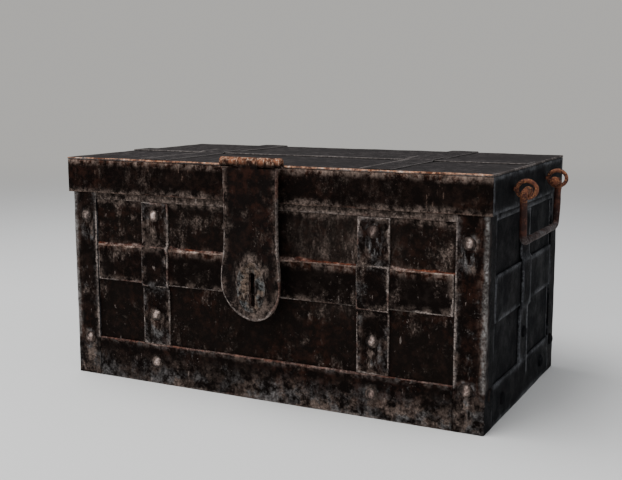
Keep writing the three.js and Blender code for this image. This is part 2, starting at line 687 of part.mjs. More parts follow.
// The leaf on the skirt, bent out and rolled into the two outer knuckles of the barrel.
function haspLeaf() {
  const centre = new THREE.Vector2(HASP_AXIS_OUT, HASP_Z);
  const bend = HASP_Z - LEAF_BEND_DROP;
  const knuckle = HASP_AXIS_OUT - HASP_BARREL_RADIUS;
  const path = [
    new THREE.Vector2(LAY_GAP, bend - LEAF_LENGTH),
    new THREE.Vector2(LAY_GAP, bend),
    new THREE.Vector2(knuckle, HASP_Z - HASP_ROLL_THICKNESS),
    new THREE.Vector2(knuckle, HASP_Z),
    ...rollPoints(centre, HASP_BARREL_RADIUS, Math.PI, -ROLL_SWEEP, ROLL_STEPS),
  ];
  const [left, right] = [HASP_BARREL_LEFT, HASP_BARREL_RIGHT];
  let made = solid(spread(bentStrip(path, -HASP_ROLL_THICKNESS), left, right, ROLLED_EDGE));
  const above = HASP_Z - HASP_BARREL_RADIUS - KNUCKLE_GAP;
  const top = HASP_Z + 2 * HASP_BARREL_RADIUS;
  const out = HASP_AXIS_OUT + 2 * HASP_BARREL_RADIUS;
  const middle = [HASP_KNUCKLE_LEFT - KNUCKLE_GAP, HASP_KNUCKLE_RIGHT + KNUCKLE_GAP];
  made = made.subtract(solid(block(middle, [above, top], [0, out])));
  for (const [from, to] of [[left - OVERRUN, -LEAF_WIDTH / 2], [LEAF_WIDTH / 2, right + OVERRUN]]) {
    made = made.subtract(solid(block([from, to], [0, above], [0, out])));
  }
  for (const x of [-LEAF_RIVET_OFFSET, LEAF_RIVET_OFFSET]) {
    const head = rivetHead(x, bend - LEAF_LENGTH / 2, LAY_GAP + HASP_ROLL_THICKNESS);
    made = made.add(solid(head));
  }
  return piece('hasp_leaf', geometryOf(made), COLOURS.rust);
}

function haspPin() {
  const geometry = peg(HASP_PIN_RADIUS, HASP_BARREL_LEFT - HASP_PIN_END, HASP_BARREL_RIGHT + HASP_PIN_END);
  geometry.rotateY(Math.PI / 2);
  geometry.translate(0, HASP_Z, HASP_AXIS_OUT);
  return piece('hasp_pin', geometry, COLOURS.plate);
}

// The swinging plate's outline: straight sides that flare to a wide end, rounded down to the tip.
function haspOutline() {
  const shape = new THREE.Shape();
  const left = HASP_PLATE_X - HASP_PLATE_WIDTH / 2;
  const right = HASP_PLATE_X + HASP_PLATE_WIDTH / 2;
  const wide = HASP_END_WIDTH / 2;
  const wideLeft = HASP_END_X - wide;
  const wideRight = HASP_END_X + wide;
  const top = HASP_Z - HASP_NECK_DROP;
  const widest = HASP_TIP + HASP_END_HEIGHT;
  const flare = widest + HASP_FLARE_RUN;
  const leave = flare - HASP_FLARE_RUN * HASP_FLARE_EASE;
  const arrive = widest + HASP_FLARE_RUN * HASP_FLARE_EASE;
  const fall = widest - HASP_END_HEIGHT * HASP_END_FULLNESS;
  const tip = HASP_TIP_X;
  shape.moveTo(left, top);
  shape.lineTo(left, flare);
  shape.bezierCurveTo(left, leave, wideLeft, arrive, wideLeft, widest);
  shape.bezierCurveTo(wideLeft, fall, tip - wide * HASP_TIP_FULLNESS_LEFT, HASP_TIP, tip, HASP_TIP);
  shape.bezierCurveTo(tip + wide * HASP_TIP_FULLNESS_RIGHT, HASP_TIP, wideRight, fall, wideRight, widest);
  shape.bezierCurveTo(wideRight, arrive, right, leave, right, flare);
  shape.lineTo(right, top);
  shape.closePath();
  return shape;
}

function slotOutline() {
  const slot = new THREE.Path();
  const end = SLOT_HEIGHT / 2 - SLOT_WIDTH / 2;
  slot.absarc(SLOT_X, SLOT_Z + end, SLOT_WIDTH / 2, 0, Math.PI, false);
  slot.absarc(SLOT_X, SLOT_Z - end, SLOT_WIDTH / 2, Math.PI, 2 * Math.PI, false);
  slot.closePath();
  return slot;
}

// The plate with its finger rolled into the middle knuckle.
function haspPlate() {
  const outline = haspOutline();
  outline.holes.push(slotOutline());
  const flat = slab(outline, HASP_BACK, HASP_FACE, HASP_EDGE);
  const centre = new THREE.Vector2(HASP_AXIS_OUT, HASP_Z);
  const path = [
    new THREE.Vector2(HASP_FACE, HASP_Z - HASP_NECK_DROP - HASP_BARREL_RADIUS),
    new THREE.Vector2(HASP_FACE, HASP_Z - HASP_NECK_DROP),
    new THREE.Vector2(HASP_AXIS_OUT + HASP_BARREL_RADIUS, HASP_Z - HASP_ROLL_START),
    new THREE.Vector2(HASP_AXIS_OUT + HASP_BARREL_RADIUS, HASP_Z),
    ...rollPoints(centre, HASP_BARREL_RADIUS, 0, ROLL_SWEEP, ROLL_STEPS),
  ];
  const finger = bentStrip(path, HASP_ROLL_THICKNESS);
  const knuckle = spread(finger, HASP_KNUCKLE_LEFT, HASP_KNUCKLE_RIGHT, ROLLED_EDGE);
  return piece('hasp_plate', geometryOf(solid(flat).add(solid(knuckle))), COLOURS.hasp);
}

// The raised oval round the slot.
function haspBoss() {
  const oval = new THREE.Shape();
  const y = SLOT_Z + BOSS_ABOVE_SLOT;
  oval.absellipse(BOSS_X, y, BOSS_WIDTH / 2, BOSS_HEIGHT / 2, 0, 2 * Math.PI, false);
  oval.holes.push(slotOutline());
  const back = HASP_FACE + LAY_GAP;
  const rise = (BOSS_RISE - BOSS_LAND) / 2;
  const made = new THREE.ExtrudeGeometry(oval, {
    depth: BOSS_LAND,
    bevelThickness: rise,
    bevelSize: BOSS_SLOPE,
    bevelOffset: -BOSS_SLOPE,
    bevelSegments: BOSS_SLOPE_STEPS,
    curveSegments: OUTLINE_STEPS,
  });
  made.translate(0, 0, back + rise);
  return piece('hasp_boss', made, COLOURS.hasp);
}

// Handles

function handleEye(name, x) {
  const middle = EYE_HOLE_RADIUS + EYE_BAR_RADIUS;
  const ring = new THREE.TorusGeometry(middle, EYE_BAR_RADIUS, EYE_BAR_SIDES, EYE_STEPS);
  ring.scale(1, EYE_HOLE_HEIGHT / (2 * EYE_HOLE_RADIUS), 1);
  ring.rotateY(Math.PI / 2);
  ring.translate(x, EYE_Z, EYE_OUT);
  const inside = -SKIRT_THICKNESS - LAY_GAP;
  const shank = peg(EYE_BAR_RADIUS, inside, EYE_OUT - EYE_HOLE_RADIUS - EYE_BAR_RADIUS, x, EYE_Z);
  const head = peg(EYE_HEAD_RADIUS, inside - EYE_HEAD_HEIGHT, inside, x, EYE_Z);
  return piece(name, geometryOf(solid(ring).add(solid(shank)).add(solid(head))), COLOURS.rust);
}

function bail(name) {
  const eye = EYE_SPACING / 2;
  const end = eye - BAIL_END_INSIDE_EYE;
  const leg = eye + BAIL_LEG_OUTSIDE_EYE;
  const grip = BAIL_Z - BAIL_DROP;
  const corners = [
    new THREE.Vector3(-end, BAIL_Z, BAIL_OUT),
    new THREE.Vector3(-leg, BAIL_Z, BAIL_OUT),
    new THREE.Vector3(-leg + BAIL_TAPER, grip, BAIL_OUT),
    new THREE.Vector3(leg - BAIL_TAPER, grip, BAIL_OUT),
    new THREE.Vector3(leg, BAIL_Z, BAIL_OUT),
    new THREE.Vector3(end, BAIL_Z, BAIL_OUT),
  ];
  const bends = [BAIL_TOP_BEND, BAIL_GRIP_BEND, BAIL_GRIP_BEND, BAIL_TOP_BEND];
  let made = solid(bar(corners, bends, BAIL_BAR_RADIUS));
  for (const side of [-1, 1]) {
    const knob = new THREE.SphereGeometry(BAIL_KNOB_RADIUS, KNOB_SIDES, KNOB_SIDES / 2);
    knob.scale(BAIL_KNOB_THICKNESS / (2 * BAIL_KNOB_RADIUS), 1, 1);
    knob.translate(side * end, BAIL_Z, BAIL_OUT);
    made = made.add(solid(knob));
  }
  return piece(name, geometryOf(made), COLOURS.grip);
}

// The whole strongbox

const box = new THREE.Group();
box.name = 'strongbox';

function mount(turn, distance, ...meshes) {
  const side = board(turn, distance);
  side.board.add(...meshes);
  box.add(side);
}

box.add(floorTray());
for (const [name, x, y] of [
  ['corner_angle_front_right', 1, 1],
  ['corner_angle_front_left', -1, 1],
  ['corner_angle_back_right', 1, -1],
  ['corner_angle_back_left', -1, -1],
]) {
  box.add(cornerAngle(name, x, y, y < 0));
}

const frontHalf = CORNER_EDGE_X - BUTT_GAP;
const sideHalf = CORNER_EDGE_Y - BUTT_GAP;
const midFrontHalf = CORNER_EDGE_X - MID_BAND_END_GAP;
const midSideHalf = CORNER_EDGE_Y - MID_BAND_END_GAP;
const rivets = frontRivets();

mount(
  FRONT,
  WALL_Y,
  panel('panel_front', WALL_X, COLOURS.plate, [...rivets, ...stapleHoles()]),
  band('band_bottom_front', frontHalf, 0, BOTTOM_BAND_FRONT, COLOURS.strap, {
    holes: rivets.filter((place) => place.name.startsWith('rivet_band')),
  }),
  band('band_mid_front', midFrontHalf, ...FRONT_MID_BAND, COLOURS.strap, {
    holes: stapleHoles(),
  }),
  band('band_top_front', frontHalf, TOP_BAND_LOW, WALL_HEIGHT, COLOURS.strap),
  lockStaple(),
);
for (const [side, x] of [['left', -WALL_STRAP_OFFSET], ['right', WALL_STRAP_OFFSET]]) {
  const frontX = FRONT_STRAP_X[side];
  const holes = STRAP_RIVET_HEIGHTS.map((y) => ({ x: frontX, y }));
  const strap = `strap_front_${side}`;
  mount(
    FRONT,
    WALL_Y,
    wallStrap(strap, frontX, WALL_STRAP_WIDTH, BOTTOM_BAND_FRONT, FRONT_MID_BAND, COLOURS.strap, { holes }),
  );
  mount(BACK, WALL_Y, hingeStrap(`strap_hinge_${side}`, -x));
  mount(BACK, 0, lidCrossStrap(`lid_strap_${side}`, -x), hingePin(`hinge_pin_${side}`, -x));
}
for (const place of rivets) {
  const mesh = piece(place.name, rivet(place.grip), COLOURS.strap);
  mesh.position.set(place.x, place.y, STRAP_FACE);
  mount(FRONT, WALL_Y, mesh);
}

const backHeads = [-1, 1].map((side) => ({ x: side * WALL_STRAP_OFFSET, y: BAND_RIVET_HEIGHT }));
mount(
  BACK,
  WALL_Y,
  panel('panel_back', WALL_X, COLOURS.plate),
  band('band_bottom_back', frontHalf, 0, BOTTOM_BAND_FRONT, COLOURS.strap, { heads: backHeads }),
  band('band_mid_back', midFrontHalf, ...FRONT_MID_BAND, COLOURS.strap),
  band('band_top_back', frontHalf, TOP_BAND_LOW, WALL_HEIGHT, COLOURS.strap),
);

const sideHeads = [-1, 1].map((side) => ({ x: side * SIDE_BAND_RIVET_OFFSET, y: SIDE_BAND_RIVET_HEIGHT }));
for (const [side, turn] of [['left', LEFT], ['right', RIGHT]]) {
  const strapHeads = [{ x: 0, y: SIDE_STRAP_RIVET_HEIGHT }];
  mount(
    turn,
    WALL_X,
    panel(`panel_${side}`, WALL_Y - WALL_THICKNESS - BUTT_GAP, COLOURS.side),
    band(`band_bottom_${side}`, sideHalf, 0, BOTTOM_BAND_SIDE, COLOURS.side, { heads: sideHeads }),
    band(`band_mid_${side}`, midSideHalf, ...SIDE_MID_BAND, COLOURS.side),
    band(`band_top_${side}`, sideHalf, TOP_BAND_LOW, WALL_HEIGHT, COLOURS.side),
    wallStrap(`strap_${side}`, 0, SIDE_STRAP_WIDTH, BOTTOM_BAND_SIDE, SIDE_MID_BAND, COLOURS.side, {
      heads: strapHeads,
    }),
  );
  const shift = side === 'right' ? HANDLE_SHIFT : -HANDLE_SHIFT;
  const eyes = [shift - EYE_SPACING / 2, shift + EYE_SPACING / 2];
  const handle = bail(`handle_bail_${side}`);
  handle.position.x = shift;
  mount(
    turn,
    LID_X,
    skirt(`lid_skirt_${side}`, LID_Y - SKIRT_THICKNESS - BUTT_GAP, COLOURS.side, eyes),
    ...eyes.map((x, i) => handleEye(`handle_eye_${side}_${i + 1}`, x)),
    handle,
  );
}

box.add(lidPlate(), lidLongStrap());
mount(BACK, LID_Y, skirt('lid_skirt_back', LID_X, COLOURS.plate));
mount(FRONT, LID_Y, skirt('lid_skirt_front', LID_X, COLOURS.plate));
mount(FRONT, LID_Y, haspLeaf(), haspPin(), haspPlate(), haspBoss());

export default box;
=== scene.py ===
# %% [markdown]
# # An old iron strongbox
# A riveted box of blackened iron plate, bound with straps, with a deep lid, a swinging hasp and two bail
# handles. The pieces come from a packed solid model with exact sizes and hinges. This script makes each
# one again as forged and worn iron, sets up a soft studio and puts the camera where the photograph was
# taken from.

import json
import math

import bmesh
import bpy
import numpy as np
from mathutils import Matrix, Quaternion, Vector, noise

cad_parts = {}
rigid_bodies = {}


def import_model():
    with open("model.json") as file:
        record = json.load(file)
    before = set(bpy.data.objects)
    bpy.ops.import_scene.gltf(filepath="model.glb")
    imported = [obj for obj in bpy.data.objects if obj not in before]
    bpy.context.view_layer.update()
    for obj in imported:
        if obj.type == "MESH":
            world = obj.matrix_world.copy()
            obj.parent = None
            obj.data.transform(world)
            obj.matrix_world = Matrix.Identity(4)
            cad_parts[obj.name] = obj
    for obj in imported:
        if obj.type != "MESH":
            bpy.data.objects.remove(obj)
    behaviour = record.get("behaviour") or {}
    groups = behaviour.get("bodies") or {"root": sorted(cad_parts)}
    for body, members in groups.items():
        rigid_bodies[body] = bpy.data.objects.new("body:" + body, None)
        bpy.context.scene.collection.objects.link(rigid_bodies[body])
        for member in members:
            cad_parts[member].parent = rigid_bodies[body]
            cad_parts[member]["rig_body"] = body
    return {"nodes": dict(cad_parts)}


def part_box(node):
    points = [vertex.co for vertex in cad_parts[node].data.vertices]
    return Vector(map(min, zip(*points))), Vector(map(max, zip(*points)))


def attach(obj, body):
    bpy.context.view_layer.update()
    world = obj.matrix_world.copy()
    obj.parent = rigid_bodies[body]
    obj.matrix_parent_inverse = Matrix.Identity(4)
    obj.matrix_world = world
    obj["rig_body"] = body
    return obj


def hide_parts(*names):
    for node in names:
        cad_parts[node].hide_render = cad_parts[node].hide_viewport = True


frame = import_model()
nodes = frame["nodes"]
scene = bpy.context.scene
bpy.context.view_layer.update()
print("pieces:", len(nodes))

# %% [markdown]
# ## Camera
# The camera comes first, so that every later picture can be laid beside the photograph. It could be
# placed by eye. Here its place was found by fitting a pinhole camera to the corners of the box, because a
# small error in the angle moves every strap.

# %% Camera
LOOK_DOWN = 8.98
LOOK_LEFT = 26.89

lens = bpy.data.cameras.new("camera")
lens.sensor_width = 36
lens.lens = 57.264
camera = bpy.data.objects.new("camera", lens)
camera.location = (0.6212, -1.2462, 0.4085)
camera.rotation_euler = (math.radians(90 - LOOK_DOWN), 0, math.radians(LOOK_LEFT))
scene.collection.objects.link(camera)
scene.camera = camera
print("camera from the box:", round(camera.location.length, 2), "m")

# %% [markdown]
# ## Floor
# The box stands on plain pale paper. A paper sweep could be modelled with a bend behind the box. A flat
# floor is simpler: far away it fades into the tone of the world, so that no horizon shows. Only the
# camera sees that haze, so the light on the box stays as it is.

# %% Floor
FLOOR_HALF = 9
PAPER = (0.74, 0.74, 0.73, 1)
PALE_GROUND = (0.50, 0.49, 0.47, 1)
HAZE_START, HAZE_END = 0.7, 4.5


def add_node(tree, kind, **settings):
    made = tree.nodes.new(kind)
    for key, value in settings.items():
        setattr(made, key, value)
    return made


bm = bmesh.new()
bmesh.ops.create_grid(bm, x_segments=1, y_segments=1, size=FLOOR_HALF)
floor_mesh = bpy.data.meshes.new("floor")
bm.to_mesh(floor_mesh)
bm.free()
floor = bpy.data.objects.new("floor", floor_mesh)
scene.collection.objects.link(floor)

paper = bpy.data.materials.new("paper")
paper.use_nodes = True
floor_mesh.materials.append(paper)
tree = paper.node_tree
sheet = tree.nodes["Principled BSDF"]
sheet.inputs["Base Color"].default_value = PAPER
sheet.inputs["Roughness"].default_value = 0.95
sheet.inputs["Specular IOR Level"].default_value = 0.1
spot = add_node(tree, "ShaderNodeTexCoord")
away = add_node(tree, "ShaderNodeVectorMath", operation="LENGTH")
far = add_node(tree, "ShaderNodeMapRange", interpolation_type="SMOOTHERSTEP")
far.inputs["From Min"].default_value = HAZE_START
far.inputs["From Max"].default_value = HAZE_END
ray = add_node(tree, "ShaderNodeLightPath")
share = add_node(tree, "ShaderNodeMath", operation="MULTIPLY")
haze = add_node(tree, "ShaderNodeEmission")
haze.inputs["Color"].default_value = PALE_GROUND
fading = add_node(tree, "ShaderNodeMixShader")
tree.links.new(spot.outputs["Object"], away.inputs[0])
tree.links.new(away.outputs["Value"], far.inputs["Value"])
tree.links.new(far.outputs["Result"], share.inputs[0])
tree.links.new(ray.outputs["Is Camera Ray"], share.inputs[1])
tree.links.new(share.outputs["Value"], fading.inputs["Fac"])
tree.links.new(sheet.outputs["BSDF"], fading.inputs[1])
tree.links.new(haze.outputs["Emission"], fading.inputs[2])
tree.links.new(fading.outputs["Shader"], tree.nodes["Material Output"].inputs["Surface"])
print("floor:", 2 * FLOOR_HALF, "m wide, fading from", HAZE_START, "m")

# %% [markdown]
# ## World
# The camera sees a pale world, while the box is lit by a weaker one. One world for both would either
# light the dark iron too much or leave the ground grey.

# %% World
world = bpy.data.worlds.new("studio")
world.use_nodes = True
tree = world.node_tree
dim = tree.nodes["Background"]
dim.inputs["Color"].default_value = (0.80, 0.82, 0.86, 1)
dim.inputs["Strength"].default_value = 0.45
pale = add_node(tree, "ShaderNodeBackground")
pale.inputs["Color"].default_value = PALE_GROUND
seen = add_node(tree, "ShaderNodeLightPath")
choice = add_node(tree, "ShaderNodeMixShader")
tree.links.new(seen.outputs["Is Camera Ray"], choice.inputs["Fac"])
tree.links.new(dim.outputs["Background"], choice.inputs[1])
tree.links.new(pale.outputs["Background"], choice.inputs[2])
tree.links.new(choice.outputs["Shader"], tree.nodes["World Output"].inputs["Surface"])
scene.world = world
print("world strength on the box:", dim.inputs["Strength"].default_value)

# %% [markdown]
# ## Lights
# Dark iron needs broad, soft lights, because it shows mostly what it mirrors. A small lamp would give
# hard white spots. One softbox hangs over the lid, one lights the front and a weak one keeps the right
# end from going black.


# %% Lights
def softbox(name, place, aim, width, height, watts):
    light = bpy.data.lights.new(name, "AREA")
    light.shape = "RECTANGLE"
    light.size = width
    light.size_y = height
    light.energy = watts
    lamp = bpy.data.objects.new(name, light)
    lamp.location = place
    lamp.rotation_euler = (Vector(aim) - Vector(place)).to_track_quat("-Z", "Y").to_euler()
    scene.collection.objects.link(lamp)


softbox("overhead", (-0.7, -0.5, 2.4), (0, 0, 0.1), 2.2, 1.4, 66)
softbox("front fill", (0.15, -2.8, 1.4), (0, 0, 0.15), 2.4, 1.8, 46)
softbox("side fill", (2.6, 0.4, 1.4), (0.3, 0, 0.15), 1.2, 1.6, 12)
print("lights:", len(bpy.data.lights))

# %% [markdown]
# ## Forging
# A smith's plate is never flat or straight. A bump map could fake that, but then the outlines would stay
# ruler straight, so the points themselves are moved. The same gentle warp runs through the whole box, so
# that pieces that touch stay together, and each piece also gets small hammer marks of its own. Only
# points can move, so every flat face is first cut into a grid.

# %% Grid and hammer marks
HAMMER = 0.00035
WARP = 0.0006
GRID_PHASE = 0.37
noise.seed_set(7)  # the warp is the same each time, and with this one no hinge rubs


def cut(bm, axis, height):
    normal = Vector((axis == 0, axis == 1, axis == 2))
    everything = bm.verts[:] + bm.edges[:] + bm.faces[:]
    bmesh.ops.bisect_plane(bm, geom=everything, dist=1e-6, plane_co=normal * height, plane_no=normal)


def cut_to_grid(bm, cell):
    """The grid is shifted by a share of a cell, so that no cut falls on an edge of the box."""
    points = np.array([v.co for v in bm.verts])
    low, high = points.min(0), points.max(0)
    for axis in range(3):
        first = math.ceil(low[axis] / cell - GRID_PHASE)
        last = math.floor(high[axis] / cell - GRID_PHASE)
        for line in range(first, last + 1):
            cut(bm, axis, (line + GRID_PHASE) * cell)


def hammer(bm, seed, marks=HAMMER, rough=34):
    shift = Vector((seed * 7.3, seed * 3.1, seed * 5.7))
    bm.normal_update()
    moves = []
    for v in bm.verts:
        warp = noise.noise_vector(v.co * 6) * WARP
        dent = noise.noise(v.co * rough + shift) + 0.5 * noise.noise(v.co * rough * 3.1 + shift)
        moves.append(warp + v.normal * dent * marks)
    for v, move in zip(bm.verts, moves):
        v.co += move


print("warp up to", WARP * 1000, "mm, hammer marks about", HAMMER * 1000, "mm")

# %% [markdown]
# ## Where iron wears
# Rubbing polishes the arrises, rust sits along the upper edges where damp lies, with a painted highlight on
# the edge itself, and dust collects round the rivets and runs down below them. Wear could be painted by
# hand. Here each point of a piece is told how many millimetres it is from the nearest of each, and the
# finish reads that, so it works for all 58 pieces.

# %% Distances and edges
STREAK = 0.024
SHORTEST_ARRIS = 0.006
LEVEL_SLOPE = 0.2
FACING_UP = 0.6

rivet_runs = []
for name in nodes:
    if name.startswith("rivet_"):
        low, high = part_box(name)
        head = ((low.x + high.x) / 2, low.y, (low.z + high.z) / 2)
        rivet_runs.append((head, (head[0], head[1], head[2] - STREAK)))


def nearest(points, segments, far=0.1):
    best = np.full(len(points), far)
    for a, b in segments:
        a, b = np.array(a), np.array(b)
        along = b - a
        t = np.clip((points - a) @ along / max(along @ along, 1e-12), 0, 1)
        gap = np.linalg.norm(points - a - t[:, None] * along, axis=1)
        best = np.minimum(best, gap)
    return best


def find_arrises(bm, least):
    """The outer edges sharper than `least` degrees, and those of them that are level upper edges."""
    arrises, crowns = [], []
    for edge in bm.edges:
        if len(edge.link_faces) != 2 or edge.calc_face_angle_signed(0) < math.radians(least):
            continue
        if edge.calc_length() < SHORTEST_ARRIS:
            continue
        ends = (tuple(edge.verts[0].co), tuple(edge.verts[1].co))
        level = abs(ends[0][2] - ends[1][2]) < LEVEL_SLOPE * edge.calc_length()
        if level and max(face.normal.z for face in edge.link_faces) > FACING_UP:
            crowns.append(ends)
        arrises.append(ends)
    return arrises, crowns


print("rivets with a dusty run:", len(rivet_runs))

# %% [markdown]
# ## Lines of their own
# Some lines in the photograph don't follow an arris: a broad worn one down each corner, rust along the
# front panel just above the middle band, and two thin bright ones on each side, which are painted
# highlights. They are given as segments too. A line thinner than the grid needs extra cuts, because a
# distance is only known at points.

# %% Lines that follow no arris
CORNER_LINE_END = 0.056
CORNER_MIDDLE = (0.2985, 0.1658)
WALL_TOP = 0.3048
SLOT_RUN = ((0.0015, -0.205, 0.132), (0.0015, -0.205, 0.176))
THIN_LINES = (0.0185, 0.1345)
THIN_LINE_ENDS = (0.03, 0.25)
SIDE_FACES = (0.2970, 0.2998, 0.3026, 0.3054)
THIN_LINE_CUTS = (-0.004, -0.002, 0, 0.002, 0.004)
RUST_LINE_CUTS = (0, 0.0015, 0.003, 0.005, 0.0075)


def on_side(name):
    flat = name.startswith(("panel", "band", "lid_skirt")) and name.endswith(("_left", "_right"))
    return flat or name in ("strap_left", "strap_right")


def corner_line(name):
    """The broad rubbed line down the corner of the box, above the bottom band."""
    side = 1 if name.endswith("right") else -1
    face = -1 if "front" in name else 1
    x, y = side * CORNER_MIDDLE[0], face * CORNER_MIDDLE[1]
    return [((x, y, CORNER_LINE_END), (x, y, WALL_TOP))]


def rust_line():
    """Rust lies on the front panel just above the middle band's upper edge."""
    low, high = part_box("panel_front")
    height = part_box("band_mid_front")[1].z
    return [((low.x, low.y, height), (high.x, low.y, height))]


def side_lines(name):
    """Thin painted highlights along the strap's far edge and the back corner, on each face from panel to
    skirt.
    """
    side = 1 if name.endswith("right") else -1
    low, high = THIN_LINE_ENDS
    return [((side * out, y, low), (side * out, y, high)) for out in SIDE_FACES for y in THIN_LINES]


def line_cuts(name):
    """The planes along a piece's rust line or thin lines, where it needs more points."""
    if name == "panel_front":
        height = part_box("band_mid_front")[1].z
        return [(2, height + up) for up in RUST_LINE_CUTS]
    if on_side(name) or name.startswith("corner_angle_back"):
        return [(1, y + off) for y in THIN_LINES for off in THIN_LINE_CUTS]
    return []


print("pieces with extra cuts:", sum(bool(line_cuts(name)) for name in nodes))

# %% [markdown]
# ## Arrises that stay dark
# Where pieces meet flush, or where dirt hides them, no arris is rubbed bright. On the lid's straps the
# bright line is a painted highlight and stays only on the edge that faces the light. The solid model knows
# nothing of that, so those few are left out by the piece's name and the edge's place.

# %% Arrises that are left out
LID_FACE = 0.3
HINGE_ROLL = 0.165
HASP_ROLL = 0.295
FREE_EDGE = 0.262  # a corner angle's free edge on the front stands nearer the middle than this
NEAR_GROUND = 0.01
RISES, STAYS_LEVEL = 0.01, 0.002
MILLIMETRES = 1000


def lit_edge(name, a, b):
    """The lid's straps get a bright line, a painted highlight, along their left or near edge, and the other
    edge stays dark.
    """
    low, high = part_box(name)
    middle = (low + high) / 2
    if name == "lid_strap_long":
        return max(a[1], b[1]) < middle.y and a[2] > LID_FACE and b[2] > LID_FACE
    return max(a[0], b[0]) < middle.x and max(a[1], b[1]) < HINGE_ROLL


def drop_lines(name, arrises):
    kept = []
    for a, b in arrises:
        upright = abs(a[2] - b[2]) > RISES
        level = abs(a[2] - b[2]) < STAYS_LEVEL
        if upright and name.startswith(("band_bottom", "lid_skirt_front", "lid_skirt_back")):
            continue
        if level and a[2] < NEAR_GROUND and name.startswith("corner_angle"):
            continue
        if min(a[2], b[2]) > HASP_ROLL and name == "hasp_plate":
            continue
        if name.startswith("lid_strap") and not lit_edge(name, a, b):
            continue
        if upright and abs(a[0]) < FREE_EDGE and name.startswith("corner_angle"):
            a, b = [(p[0], p[1], max(p[2], CORNER_LINE_END)) for p in (a, b)]
        kept.append((a, b))
    return kept


def write_wear(mesh, points, arrises, crowns, rivets):
    """The three distances in millimetres, as attributes of the mesh's points."""
    for label, segments in (("arris", arrises), ("crown", crowns), ("halo", rivets)):
        layer = mesh.attributes.new(label, "FLOAT", "POINT")
        layer.data.foreach_set("value", (nearest(points, segments) * MILLIMETRES).astype(np.float32))


# %% [markdown]
# ## Edges of the solid pieces
# Each solid piece is cleaned once to find its edges: doubled points are merged and flat faces joined, so
# that only the real edges are left. Upper edges also stain the pieces beside them, so those of one body
# are shared.

# %% Edges of the solid pieces
FLAT_ANGLE = 0.5
FRONT_FACE = -0.16
SHARP_ENOUGH, SHARP_ENOUGH_ON_STRAPS = 38, 22


def clean(name):
    bm = bmesh.new()
    bm.from_mesh(nodes[name].data)
    bmesh.ops.remove_doubles(bm, verts=bm.verts, dist=1e-6)
    bmesh.ops.dissolve_limit(bm, angle_limit=math.radians(FLAT_ANGLE), verts=bm.verts, edges=bm.edges)
    bm.normal_update()
    return bm


def worn_and_highlight_spot(name):
    """The rubbed spot on a rivet's head, a little above its middle, wear with a painted highlight."""
    low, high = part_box(name)
    x, z = (low.x + high.x) / 2 + 0.001, (low.z + high.z) / 2 + 0.001
    return [((x, low.y, z - 0.002), (x + 0.001, low.y, z + 0.003))]


arrises_of, crowns_of, shared_crowns = {}, {}, {}
for name in nodes:
    bm = clean(name)
    least = SHARP_ENOUGH_ON_STRAPS if name.startswith("strap") else SHARP_ENOUGH
    arrises, crowns = find_arrises(bm, least)
    bm.free()
    arrises_of[name] = worn_and_highlight_spot(name) if name.startswith("rivet_") else drop_lines(name, arrises)
    if name.startswith("corner_angle"):
        crowns_of[name] = corner_line(name)
    elif on_side(name):
        crowns_of[name] = side_lines(name)
    elif name == "panel_front":
        crowns_of[name] = rust_line()
    if name == "lid_plate":
        crowns = [(a, b) for a, b in crowns if max(a[1], b[1]) < FRONT_FACE]
    if name.startswith(("band_mid", "band_bottom", "lid_plate", "hasp_plate")):
        shared_crowns.setdefault(nodes[name]["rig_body"], []).extend(crowns)
print("upper edges:", {body: len(edges) for body, edges in shared_crowns.items()})

# %% [markdown]
# ## Finish
# Old iron is several layers: a black oxide skin, brown rust in patches, grey dust, and bare metal where
# it is rubbed. A photograph wrapped round the box could give them at once, but it would stretch and
# repeat. Here each layer is laid over the one below through noise, so that no border is clean and every
# piece differs.

# %% Tones
RED = (0.036, 0.0105, 0.0055)
DUST = (0.120, 0.090, 0.075)
GREY_DUST = (0.110, 0.104, 0.102)
PALE = (0.29, 0.240, 0.215)
BLACK = (0.0028, 0.0015, 0.0011)
BROWN = (0.0125, 0.0066, 0.0048)
BLUSH = (0.105, 0.042, 0.028)
STAIN = (0.070, 0.024, 0.013)
# The rosy tones lie in stretches along upper edges, the pale one a painted highlight.
ROSY_DARK, ROSY_PALE = (0.10, 0.052, 0.042), (0.40, 0.30, 0.26)
# The sides' skin and worn tone are bluer than the front's: painted cool light on the sides.
COOL_LIT_SIDE_SKIN = (0.0042, 0.0044, 0.0052)
COOL_LIT_SIDE_WORN = (0.095, 0.098, 0.106)
SLATE = (0.0230, 0.0207, 0.0207)
SLATE_PALE = (0.0700, 0.0613, 0.0595)
SLATE_DARK = (0.0130, 0.0118, 0.0120)
# Upper edges: their line is rust, and its brightest tone is a painted highlight.
LEDGE = ((0.085, 0.048, 0.034), (0.34, 0.235, 0.190), (0.66, 0.52, 0.44))
RUST_LINE_WITH_HIGHLIGHT = ((0.075, 0.019, 0.011), (0.24, 0.070, 0.036), (0.47, 0.28, 0.215))
CORNER_LINE = ((0.085, 0.078, 0.073), (0.18, 0.172, 0.166), (0.29, 0.28, 0.27))
EDGE_LINE = ((0.17, 0.17, 0.18), (0.34, 0.345, 0.36), (0.50, 0.50, 0.51))
# The two thin bright lines on each side are painted highlights.
THIN_HIGHLIGHT = ((0.120, 0.122, 0.130), (0.26, 0.265, 0.275), (0.42, 0.425, 0.43))
# The last of the copper and orange tones is a painted highlight, in fine streaks.
COPPER_RUST_AND_HIGHLIGHT = ((0.024, 0.010, 0.0065), (0.19, 0.074, 0.038), (0.45, 0.30, 0.215))
ORANGE_RUST_AND_HIGHLIGHT = ((0.024, 0.0062, 0.0062), (0.120, 0.040, 0.021), (0.34, 0.150, 0.062))
print("darkest tone:", min(BLACK), "palest:", max(LEDGE[2]))

# %% [markdown]
# ## What a finish can set
# Every finish starts from the same settings and changes a few. Lengths are in millimetres where they are
# read from the wear distances, and in metres where they are heights. A pair is where a fade starts and
# where it ends.

